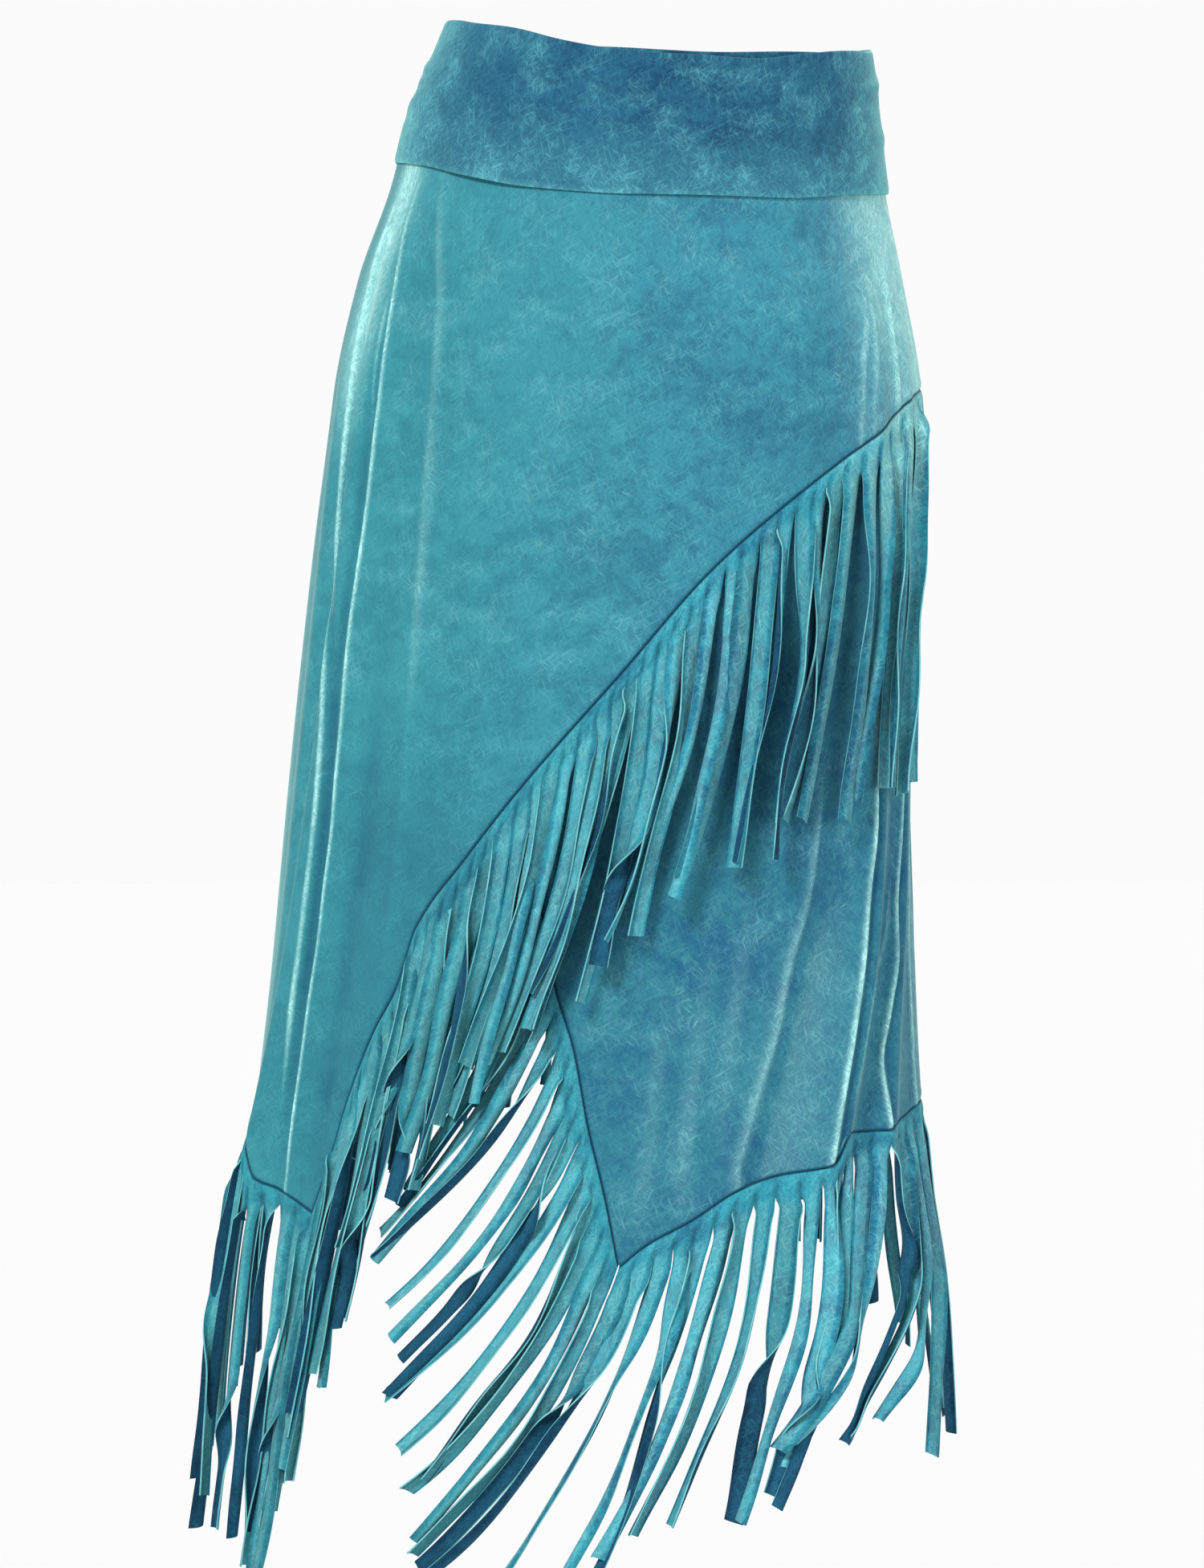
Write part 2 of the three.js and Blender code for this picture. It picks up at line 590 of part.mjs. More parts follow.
const skirt = new THREE.Group();
skirt.name = "fringe_skirt";
skirt.add(
  cloth("waistband", waistbandGeometry(), DEEP_BAND_TEAL),
  cloth("wrap_front", panelGeometry([wrapHemEdge, wrapDiagonalEdge], 10, wrapLift), WASHED_TEAL),
  cloth("under_front", panelGeometry([underEdge, underHemEdge], 8, onForm), UNDER_TEAL),
  cloth("back", panelGeometry([backHemEdge], 9, onForm), WASHED_TEAL),
  cloth("fringe_wrap_hem", fringeGeometry(wrapHemEdge, WRAP_HEM_HANG, wrapLift, 3), STRAND_TEAL),
  cloth("fringe_wrap_diagonal", fringeGeometry(wrapDiagonalEdge, WRAP_DIAGONAL_HANG, wrapLift, 3), STRAND_TEAL),
  cloth("fringe_under_edge", fringeGeometry(underEdge, UNDER_EDGE_HANG, onForm, 4), STRAND_TEAL),
  cloth("fringe_under_hem", fringeGeometry(underHemEdge, UNDER_HEM_HANG, onForm, 4), STRAND_TEAL),
  cloth("fringe_back", fringeGeometry(backHemEdge, BACK_HANG, onForm, 3), STRAND_TEAL),
);

export default skirt;
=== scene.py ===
"""Dresses the fringe skirt: washed jersey panels, a fold-over band and cut fringes, in a plain studio."""

import logging
import math
from collections.abc import Callable, Sequence
from dataclasses import dataclass, field
from enum import Enum, IntEnum

import bpy
import numpy as np
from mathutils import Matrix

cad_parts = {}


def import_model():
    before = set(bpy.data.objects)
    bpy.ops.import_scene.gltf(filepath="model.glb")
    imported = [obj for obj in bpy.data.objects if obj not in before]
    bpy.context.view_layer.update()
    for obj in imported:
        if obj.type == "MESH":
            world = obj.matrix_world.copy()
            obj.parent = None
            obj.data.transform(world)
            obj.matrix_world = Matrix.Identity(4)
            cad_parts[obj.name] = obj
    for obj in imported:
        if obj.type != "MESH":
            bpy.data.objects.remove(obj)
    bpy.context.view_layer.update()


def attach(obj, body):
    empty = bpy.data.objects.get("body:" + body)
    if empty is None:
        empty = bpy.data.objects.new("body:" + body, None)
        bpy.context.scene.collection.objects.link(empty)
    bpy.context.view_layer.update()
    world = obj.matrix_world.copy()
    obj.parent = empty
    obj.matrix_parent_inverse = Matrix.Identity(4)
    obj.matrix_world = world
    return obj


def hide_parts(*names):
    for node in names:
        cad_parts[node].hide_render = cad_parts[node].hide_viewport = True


LOG = logging.getLogger("fringe_skirt")

# Sizes are in millimetres. Angles are in degrees round the form: 0 at the front, 90 at the viewer's right.
MM = 0.001
CLOTH = 1.2
PANEL_WALL = CLOTH - 0.1
STRAND_WALL = CLOTH - 0.2
SEAM_GAP = 0.3
BAND_OVERLAP = 14.0
PITCH = 16.0
STRIP = 15.0
STRIP_LONGEST = 27.0
HEM_LEVEL = -750.0
LEFT_SEAM = -90.0
FAR_FROM_SEAM = 30.0
HIDDEN_RIM = 1.3
SMOOTH_ANGLE = 50.0
REVERSE_SLOT, CUT_SLOT = 1, 2

# The kinds of node that the jersey uses most, and the numbers of a colour Mix node's sockets.
NOISE, RANGE, MATH = "ShaderNodeTexNoise", "ShaderNodeMapRange", "ShaderNodeMath"
SOFT = {"interpolation_type": "SMOOTHSTEP"}
MIX_SHARE, MIX_FIRST, MIX_SECOND, MIX_RESULT = 0, 6, 7, 2

# Layers of brush strokes: the turn in radians, the shift, and a stroke's width and length in millimetres.
STROKE_LAYERS = (
    (0.28, 0.0, 1.5, 14.0),
    (-0.36, 3.1, 1.3, 11.0),
    (0.85, 7.7, 1.4, 9.0),
    (-1.0, 12.3, 1.7, 12.0),
)

Line = tuple[tuple[float, float], ...]
Lift = Callable[[np.ndarray, np.ndarray], np.ndarray]


class Twist(Enum):
    """How one hanging strand of jersey turns."""

    FLAT = "flat"
    ROLLED = "rolled"
    EDGE_ON = "edge_on"
    TURNED = "turned"


class Draw(IntEnum):
    """What a repeatable value is drawn for in one fringe. Its number is added to the fringe's seed."""

    SLIT = 1
    CURL = 3
    SIDE = 7
    BEGIN = 9
    TWIST = 11
    WAVE = 13
    BOW = 15
    SLANT = 17
    WIDTH = 19
    TONE = 29


class Habit(IntEnum):
    """What a repeatable value is drawn for where every fringe shares it."""

    LENGTH = 1
    WANDER = 2
    BEND = 5
    SWAY = 23
    FINE_LENGTH = 31


@dataclass(frozen=True)
class Turning:
    """How far one kind of strand curls and turns, and the shares of its length where the turn may begin."""

    curl: tuple[float, float]
    degrees: float
    begins: tuple[float, float]


TURNINGS = {
    Twist.FLAT: Turning((1.0, 2.2), 12.0, (0.0, 0.5)),
    Twist.ROLLED: Turning((2.6, 4.6), 30.0, (0.0, 0.3)),
    Twist.EDGE_ON: Turning((1.2, 3.0), 72.0, (0.0, 0.35)),
    Twist.TURNED: Turning((1.0, 2.6), 172.0, (0.05, 0.6)),
}


@dataclass(frozen=True)
class Section:
    """One level of the form under the cloth."""

    height: float
    centre: float
    half_width: float
    front: float
    back: float


@dataclass(frozen=True)
class Fold:
    """A soft ridge that starts, grows, fades and ends at its own heights."""

    start: float
    full: float
    fade: float
    end: float
    rise: float
    left: float
    right: float
    angle: float
    hem_angle: float
    bow: float = 0.0


@dataclass(frozen=True)
class Crease:
    """A fine ridge or trough along a line, and how much painted highlight or painted shade, together with
    washing's bleach, lies on it.

    The line gives heights and angles from the top down. Rise, left and right shape the cloth. The last three
    numbers shape the painted highlight or shade and the bleach in the same way, as a share of the full bloom.
    """

    line: Line
    start: float
    full: float
    fade: float
    end: float
    rise: float
    left: float
    right: float
    wear_and_painted_light: float
    wear_and_light_left: float
    wear_and_light_right: float

    def profile(self, angle: np.ndarray, height: np.ndarray, left: float, right: float) -> np.ndarray:
        """The crease's own shape at each place.

        Args:
            angle: Degrees round the form.
            height: Millimetres up from the waist.
            left: Degrees that it reaches to the left of its line.
            right: Degrees that it reaches to the right.

        Returns:
            Shares, about 1 on the line where the crease is full.
        """
        crest = SmoothTable(*zip(*self.line[::-1]))(height)
        grown = ease(self.start, self.full, height) * (1.0 - ease(self.fade, self.end, height))
        uneven = 1.0 + 0.3 * np.sin(height / 17.0 + self.start) * np.sin(height / 41.0 + self.left)
        away = turned_from(angle, crest)
        return grown * uneven * bell(away, np.where(away < 0.0, left, right))


def shifted(line: Line, degrees: float) -> Line:
    """The same line, so many degrees further round."""
    return tuple((height, angle + degrees) for height, angle in line)


@dataclass(frozen=True)
class Hang:
    """How strands hang at one place along an edge, given as a share of its length."""

    at: float
    lean_root: float
    lean_tip: float
    length: float
    lift: float
    spread: float
    stray: float


@dataclass(frozen=True)
class Wrinkle:
    """A soft crease across the band, at a share of the way down, rising or falling along its reach."""

    centre: float
    reach: float
    level: float
    width: float
    rise: float
    slope: float


SECTIONS = (
    Section(-1060, -50, 256, 162, 166),
    Section(-850, -49, 239, 151, 154),
    Section(-740, -47, 225, 145, 148),
    Section(-620, -43, 215, 140, 143),
    Section(-500, -37, 210, 136, 140),
    Section(-350, -27, 204, 132, 138),
    Section(-240, -19, 198, 129, 135),
    Section(-160, -17, 183, 124, 127),
    Section(-100, -12, 167, 118, 114),
    Section(-45, -7.5, 157.5, 111, 103),
    Section(0, -1, 146.5, 104, 97),
    Section(30, 1, 137, 99, 94),
)

SHARED_FOLDS = (
    Fold(-400, -620, -900, -1100, 5, 8, 5, 49, 27, 3.2),
    Fold(-420, -640, -860, -1050, 12, 8, 3.6, 64, 45.5, 4.5),
    Fold(-430, -620, -900, -1100, 6, 4, 4, 83, 62, 1.3),
    Fold(-430, -640, -900, -1100, 5, 5, 6, 99, 84, 0),
    Fold(-260, -600, -900, -1100, 8, 7, 9, 122, 118, 2),
    Fold(-320, -620, -900, -1100, 7, 9, 7, 152, 150, -2),
    Fold(-300, -640, -900, -1100, 5, 8, 10, 178, 182, 2),
    Fold(-280, -600, -900, -1100, 8, 8, 8, 206, 214, 0),
    Fold(-240, -600, -900, -1100, 9, 9, 6, 238, 246, -2),
)

WRAP_FOLDS = (
    Fold(-110, -300, -900, -1100, 6, 5, 4, -75, -74, 6),
    Fold(-95, -280, -820, -1000, 13, 3.4, 9, -62, -70, 7.4),
    Fold(-100, -380, -700, -900, 4, 7, 8, -52, -41, 6.5),
    Fold(-130, -220, -330, -480, 3.5, 4, 4, 58, 48, 0),
    Fold(-130, -220, -330, -480, 3.5, 4, 4, 69, 66, 0),
)

# Finer creases that only the dressed cloth has: heights and angles of each one's line, from the top down.
# The photo shows those of the front, and the back has its own.
LEFT_OUTER_LINE = ((-100, -71), (-140, -69.5), (-209, -67.5), (-260, -66.2), (-334, -64.2), (-380, -61.2),
                   (-430, -58.6), (-500, -57.4), (-560, -58.2), (-640, -60), (-730, -61.6))
LEFT_INNER_LINE = ((-95, -60.5), (-122, -59), (-152, -56), (-209, -53.2), (-268, -52.3), (-330, -52.1),
                   (-403, -53.2), (-515, -53.4), (-580, -54.6), (-655, -56.6), (-750, -58.6))
UNDER_SIDE_LINE = ((-400, 62), (-528, 59), (-575, 56.3), (-636, 52.9), (-668, 50.6), (-703, 47.8),
                   (-733, 45.5), (-770, 42.4))
BACK_RIGHT_LINE = ((-100, 114), (-300, 116), (-600, 118))
BACK_LEFT_LINE = ((-95, 240), (-300, 243), (-620, 246))
# In each crease, a share above 0 paints a highlight along its ridge and one below 0 paints shade in its
# trough, together with washing's bleach.
WRAP_CREASES = (
    Crease(LEFT_OUTER_LINE, -95, -150, -640, -740, 1.8, 1.6, 0.6, 0.75, 0.5, 0.45),
    Crease(shifted(LEFT_OUTER_LINE, 1.7), -130, -240, -600, -700, -1.5, 1.0, 1.4, -0.3, 0.9, 1.3),
    Crease(LEFT_INNER_LINE, -88, -130, -740, -840, 2.2, 0.6, 2.6, 0.85, 0.4, 0.5),
    Crease(shifted(LEFT_INNER_LINE, -1.8), -160, -280, -700, -790, -2.0, 1.2, 1.1, -0.35, 1.3, 1.0),
    Crease(((-180, -56.4), (-209, -55.5), (-239, -54.7), (-280, -53.4)), -165, -200, -240, -280, 0.8, 0.5,
           0.6, 0.5, 0.4, 0.4),
    Crease(((-104, -50.6), (-145, -45), (-176, -41.9), (-211, -40.3), (-275, -39.2), (-380, -37.8),
           (-536, -37.3), (-640, -38.4)), -100, -125, -560, -690, 1.0, 1.2, 1.6, 0.13, 0.8, 1.3),
    Crease(((-330, -47), (-480, -45.5), (-600, -48), (-760, -52)), -330, -520, -700, -790, -1.8, 2.4, 2.8,
           -0.22, 2.2, 2.6),
    Crease(((-300, -26), (-460, -27)), -260, -340, -420, -520, 0.8, 3.4, 2.6, 0.0, 1, 1),
    Crease(((-160, -12), (-380, -16)), -150, -240, -320, -430, 0.7, 4.0, 5.0, 0.0, 1, 1),
    Crease(((-120, 8), (-340, 4)), -120, -180, -260, -360, 0.6, 4.0, 4.6, 0.0, 1, 1),
    Crease(((-120, 57), (-197, 53.9), (-224, 51.6), (-266, 50.6)), -150, -210, -300, -340, 1.1, 1.5, 1.0,
           0.34, 0.8, 0.7),
    Crease(((-120, 68), (-181, 65.1), (-207, 64.2), (-245, 63.8)), -130, -190, -260, -300, 1.3, 1.6, 0.9,
           0.38, 0.9, 0.7),
    Crease(((-150, 58), (-208, 55.9), (-250, 54)), -150, -190, -240, -280, 0.6, 0.8, 0.8, 0.3, 0.6, 0.6),
    Crease(((-100, 80), (-200, 77), (-250, 76)), -96, -130, -230, -260, 1.1, 1.2, 1.5, 0.35, 0.8, 1.0),
)
UNDER_CREASES = (
    Crease(((-420, 46), (-535, 43), (-582, 40.7), (-621, 36.8), (-662, 34.2), (-706, 30.1), (-756, 25.8)),
           -470, -580, -740, -820, 1.2, 2.8, 0.9, 0.24, 1.2, 0.4),
    Crease(((-420, 48), (-535, 45.2), (-621, 39), (-706, 32.3), (-756, 28)), -500, -600, -720, -820, -0.9,
           1.0, 2.4, -0.16, 0.8, 2.4),
    Crease(UNDER_SIDE_LINE, -420, -520, -760, -860, 2.6, 3.0, 0.55, 0.9, 0.8, 0.4),
    Crease(shifted(UNDER_SIDE_LINE, 1.8), -420, -520, -760, -860, -2.4, 0.8, 1.3, -0.5, 0.7, 1.4),
    Crease(((-440, 76), (-533, 73.5), (-583, 70.3), (-618, 69.5), (-656, 65.6), (-693, 62), (-724, 62.4)),
           -440, -520, -760, -840, 1.8, 1.2, 0.7, 0.75, 0.6, 0.5),
    Crease(((-440, 77.6), (-533, 75.2), (-583, 72), (-618, 71.2), (-656, 67.4), (-693, 64), (-724, 64.4)),
           -460, -540, -740, -820, -1.6, 0.8, 1.4, -0.4, 0.8, 1.6),
    Crease(((-560, 68.5), (-606, 65.9), (-645, 56.8), (-687, 52.9), (-714, 50.1)), -560, -610, -700, -760,
           0.9, 0.9, 1.1, 0.3, 0.6, 0.7),
    Crease(((-440, 88), (-600, 84), (-714, 81)), -440, -560, -700, -800, 1.2, 1.2, 1.2, 0.45, 0.8, 0.8),
    Crease(((-600, 22), (-760, 16)), -600, -680, -740, -800, 0.5, 2.2, 1.8, 0.1, 1.8, 1.4),
    Crease(((-560, 30), (-720, 23)), -560, -640, -700, -760, 0.5, 2.4, 1.8, 0.08, 2.0, 1.6),
    Crease(((-620, 14), (-790, 9)), -620, -680, -760, -820, 0.4, 1.8, 1.8, 0.07, 1.6, 1.6),
)
BACK_CREASES = (
    Crease(BACK_RIGHT_LINE, -100, -200, -400, -640, 1.6, 0.7, 2.2, 0.26, 0.7, 1.0),
    Crease(shifted(BACK_RIGHT_LINE, -1.8), -140, -260, -420, -600, -1.6, 1.2, 0.8, -0.3, 1.2, 0.8),
    Crease(((-120, 133), (-400, 128)), -120, -240, -330, -540, 0.9, 1.2, 1.6, 0.18, 0.9, 1.0),
    Crease(((-110, 146), (-260, 150), (-460, 151)), -110, -170, -240, -520, 1.4, 2.2, 0.8, 0.22, 0.9, 0.8),
    Crease(((-200, 168), (-460, 164)), -200, -300, -340, -480, 0.9, 1.6, 2.2, 0.12, 1.1, 1.2),
    Crease(((-110, 193), (-300, 199), (-480, 204)), -110, -240, -300, -500, 1.2, 0.8, 2.0, 0.18, 0.9, 1.0),
    Crease(((-150, 222), (-400, 231)), -190, -330, -400, -600, 1.0, 1.4, 1.4, 0.2, 0.9, 0.9),
    Crease(BACK_LEFT_LINE, -95, -160, -380, -660, 1.9, 2.4, 0.7, 0.4, 0.9, 0.6),
    Crease(shifted(BACK_LEFT_LINE, 2), -140, -240, -500, -640, -1.7, 0.8, 1.2, -0.35, 0.8, 1.2),
    Crease(((-200, 262), (-640, 263)), -200, -320, -560, -700, 1.0, 1.2, 1.6, 0.3, 0.8, 0.8),
)

# Where whole stretches of cloth are paled: painted sheen at the sides and hip, where the cloth turns away,
# together with washing's bleach; a rise below 0 paints shade instead. A rise here is a share of the full
# bloom.
PAINTED_HIP_SHEEN = Fold(-60, -90, -220, -360, 0.76, 23, 17, 86, 82)
WRAP_PALE = (
    Fold(-60, -90, -190, -300, 0.78, 6.5, 6.0, -67, -58),
    PAINTED_HIP_SHEEN,
    Fold(-60, -90, -150, -240, 0.25, 9, 10, 62, 60),
    Fold(-60, -90, -760, -1100, 0.3, 6, 5, -89, -83),
    Fold(-400, -560, -900, -1100, -0.36, 16, 17, -34, -42),
    Fold(-160, -260, -360, -460, -0.1, 16, 16, 26, 26),
)
UNDER_PALE = (
    Fold(-420, -500, -900, -1100, 0.25, 5, 8, 90, 86),
    Fold(-560, -640, -760, -1100, 0.12, 6, 8, 46, 33),
)
BACK_PALE = (
    PAINTED_HIP_SHEEN,
    Fold(-60, -90, -500, -700, 0.3, 7, 7, 267, 267),
    Fold(-60, -90, -200, -320, 0.25, 14, 16, 140, 138),
    Fold(-60, -90, -240, -360, 0.22, 12, 12, 226, 230),
)

BAND_TOP = ((-90, 19), (-68, 14.7), (-55, 9.3), (-40, 2.5), (-24, -7.4), (-8, -15), (5, -18.5), (25, -19.3),
            (42, -14), (60, -8), (90, 0), (135, 8), (180, 14), (225, 18), (270, 19))
BAND_BOTTOM = ((-90, -77), (-61, -86), (-41, -98), (-25, -107), (0, -113), (31, -113.5), (55, -108),
               (79, -101.5), (90, -99), (135, -92), (180, -88), (225, -81), (270, -77))
WRAP_HEM = ((-90, -711), (-82, -712), (-74, -723), (-67, -768), (-61, -774), (-50.7, -788))
WRAP_DIAGONAL = ((-50.7, -788), (-47.8, -756), (-44.4, -713), (-39.8, -668), (-35.4, -636), (-32.6, -598),
                 (-23.7, -551), (-14.3, -505), (1.3, -435), (17.1, -365), (29, -327), (42.8, -293),
                 (56.8, -266), (69.7, -243), (90, -230))
UNDER_EDGE = ((-90, -420), (-60, -452), (-30, -505), (-16, -548), (-9.6, -584), (-5.9, -640), (-2.5, -677),
              (0.5, -730), (3.5, -776), (5.7, -820))
UNDER_HEM = ((5.7, -820), (10, -806), (17, -791), (26, -770), (33, -762), (44, -755), (50.5, -735),
             (61, -735), (69, -730), (78, -724), (90, -714))
BACK_HEM = ((90, -714), (104, -692), (125, -632), (150, -538), (180, -485), (210, -536), (236, -630),
            (256, -692), (270, -711))

BAND_WRINKLES = (
    Wrinkle(-86, 26, 0.30, 0.045, 1.8, 0.05),
    Wrinkle(-80, 22, 0.55, 0.06, 1.5, -0.10),
    Wrinkle(-66, 30, 0.78, 0.05, 0.9, 0.06),
    Wrinkle(-30, 36, 0.42, 0.07, 0.7, 0.10),
    Wrinkle(10, 30, 0.62, 0.06, 0.6, -0.08),
    Wrinkle(48, 26, 0.34, 0.06, 0.8, 0.12),
    Wrinkle(84, 24, 0.22, 0.05, 1.6, -0.06),
    Wrinkle(88, 28, 0.60, 0.06, 1.2, 0.05),
    Wrinkle(120, 30, 0.42, 0.06, 1.2, 0.10),
    Wrinkle(150, 34, 0.70, 0.07, 1.0, -0.10),
    Wrinkle(182, 36, 0.30, 0.06, 1.3, 0.08),
    Wrinkle(205, 30, 0.56, 0.05, 1.1, -0.05),
    Wrinkle(238, 30, 0.74, 0.06, 1.2, 0.08),
    Wrinkle(262, 24, 0.40, 0.05, 1.2, 0.0),
)
# How far the band's loose edge stands off the panels: a centre, a reach and a rise.
BAND_SLACK = (
    (-38.0, 13.0, 2.4), (-62.0, 9.0, 0.8), (15.0, 16.0, 0.6), (70.0, 12.0, 1.0), (120.0, 16.0, 1.8),
    (176.0, 20.0, 1.2), (226.0, 18.0, 2.0),
)

WRAP_HEM_HANG = (
    Hang(0, 1, 0, 206, 1, 1.5, 0.8),
    Hang(0.5, 0, -3, 216, 3, 3, 1.4),
    Hang(1, 0, -6, 222, 5, 3, 1.0),
)
WRAP_DIAGONAL_HANG = (
    Hang(0, -2, -8, 226, 8, 3, 1.0),
    Hang(0.2, -2, -9, 216, 8, 4, 1.5),
    Hang(0.3, -3, -11, 192, 9, 4, 1.8),
    Hang(0.42, -4, -15, 190, 10, 4, 2.2),
    Hang(0.55, -5, -17, 206, 10, 4, 2.6),
    Hang(0.7, -3, -11, 212, 10, 4, 2.6),
    Hang(0.85, -2, -9, 226, 7, 3, 1.8),
    Hang(0.95, -1, -5, 246, 3, 2, 1.0),
    Hang(1, -1, -4, 250, 2, 1.5, 0.6),
)
UNDER_EDGE_HANG = (
    Hang(0, 0, 4, 130, 0, 0, 0),
    Hang(0.44, -10, -24, 120, 0, 0, 0),
    Hang(0.57, -18, -38, 164, 0, 2, 0.8),
    Hang(0.7, -22, -45, 184, 1, 3.4, 1.4),
    Hang(0.88, -22, -46, 199, 3, 4, 2.0),
    Hang(1, -20, -45, 220, 4, 4, 2.0),
)
UNDER_HEM_HANG = (
    Hang(0, -20, -45, 225, 6, 4, 1.4),
    Hang(0.12, -17, -36, 226, 6, 4.4, 2.2),
    Hang(0.25, -14, -26, 226, 6, 4.4, 3.0),
    Hang(0.4, -13, -22, 220, 6, 4.4, 3.0),
    Hang(0.62, -12, -26, 212, 6, 4.4, 2.6),
    Hang(0.78, -8, -46, 210, 8, 4, 2.4),
    Hang(0.88, -5, -44, 212, 6, 3, 1.8),
    Hang(0.94, -1, -8, 210, 3, 2, 1.0),
    Hang(1, 0, 2, 222, 1, 1.5, 0.6),
)
BACK_HANG = (
    Hang(0, 0, 0, 210, 1, 1.5, 0.8),
    Hang(0.12, 0, 1, 211, 4, 3, 2.0),
    Hang(0.5, 0, 2, 212, 5, 3, 2.2),
    Hang(0.78, 0, 1, 210, 4, 2.4, 1.6),
    Hang(0.87, 0, 0, 209, 0, 1.5, 1.0),
    Hang(1, 0, 0, 208, 0, 1, 0.6),
)


def ease(first: float | np.ndarray, second: float | np.ndarray, place: np.ndarray) -> np.ndarray:
    """0 before the first place, 1 past the second, and smooth between them."""
    t = np.clip((place - first) / (second - first), 0.0, 1.0)
    return t * t * (3.0 - 2.0 * t)


def blend(start: np.ndarray | float, end: np.ndarray | float, share: np.ndarray | float) -> np.ndarray:
    """Mixes two values by a share from 0 to 1."""
    return start + (end - start) * share


def stray(index: np.ndarray | int, kind: int) -> np.ndarray:
    """A repeatable value from -1 to 1 for each strand and kind."""
    mixed = np.sin(np.asarray(index, float) * 12.9898 + kind * 78.233) * 43758.5453
    return 2.0 * (mixed - np.floor(mixed)) - 1.0


def drawn(index: np.ndarray | int, kind: int) -> np.ndarray:
    """A repeatable value from 0 to 1 for each strand and kind."""
    return (stray(index, kind) + 1.0) / 2.0


def bell(away: np.ndarray, reach: np.ndarray | float) -> np.ndarray:
    """1 in the middle, falling smoothly to almost nothing at twice its reach."""
    return np.exp(-((away / reach) ** 2))


def run_length(points: np.ndarray) -> float:
    """How long a line through some points is."""
    return float(np.sum(np.linalg.norm(np.diff(points, axis=0), axis=1)))


def turned_from(angle: np.ndarray, centre: np.ndarray | float) -> np.ndarray:
    """Degrees from a centre, the short way round."""
    return np.mod(angle - centre + 180.0, 360.0) - 180.0


def on_ring(angle: np.ndarray) -> np.ndarray:
    """Turns any angle into one from the left seam round to it again."""
    return np.mod(angle - LEFT_SEAM, 360.0) + LEFT_SEAM


class SmoothTable:
    """A smooth curve through a table's rows that never overshoots a high or low point."""

    def __init__(self, keys: Sequence[float], values: Sequence[float]) -> None:
        """Works out the slope at each row.

        Args:
            keys: Where the rows are, rising.
            values: The value at each row.
        """
        self.keys = np.asarray(keys, float)
        self.values = np.asarray(values, float)
        rise = np.diff(self.values) / np.diff(self.keys)
        product, total = rise[:-1] * rise[1:], rise[:-1] + rise[1:]
        inner = np.where(product <= 0.0, 0.0, 2.0 * product / np.where(total == 0.0, 1.0, total))
        self.slopes = np.concatenate([rise[:1], inner, rise[-1:]])

    def __call__(self, place: np.ndarray | float) -> np.ndarray:
        """The curve's value at each place, held at the ends."""
        held = np.clip(place, self.keys[0], self.keys[-1])
        row = np.clip(np.searchsorted(self.keys, held, side="left") - 1, 0, len(self.keys) - 2)
        span = self.keys[row + 1] - self.keys[row]
        t = (held - self.keys[row]) / span
        return (
            self.values[row] * (2 * t**3 - 3 * t**2 + 1)
            + self.slopes[row] * span * (t**3 - 2 * t**2 + t)
            + self.values[row + 1] * (-2 * t**3 + 3 * t**2)
            + self.slopes[row + 1] * span * (t**3 - t**2)
        )


def fold_rise(folds: Sequence[Fold], angle: np.ndarray, height: np.ndarray) -> np.ndarray:
    """How far some folds stand out at each place.

    Args:
        folds: The folds.
        angle: Degrees round the form.
        height: Millimetres up from the waist.

    Returns:
        The sum of their rises, in the folds' own unit.
    """
    total = np.zeros(np.broadcast(angle, height).shape)
    for fold in folds:
        grown = ease(fold.start, fold.full, height) * (1.0 - ease(fold.fade, fold.end, height))
        down = np.clip((fold.start - height) / (fold.start - HEM_LEVEL), 0.0, 1.1)
        crest = fold.angle + (fold.hem_angle - fold.angle) * down + fold.bow * 4.0 * down * (1.0 - down)
        away = turned_from(angle, crest)
        total = total + fold.rise * grown * bell(away, np.where(away < 0.0, fold.left, fold.right))
    return total


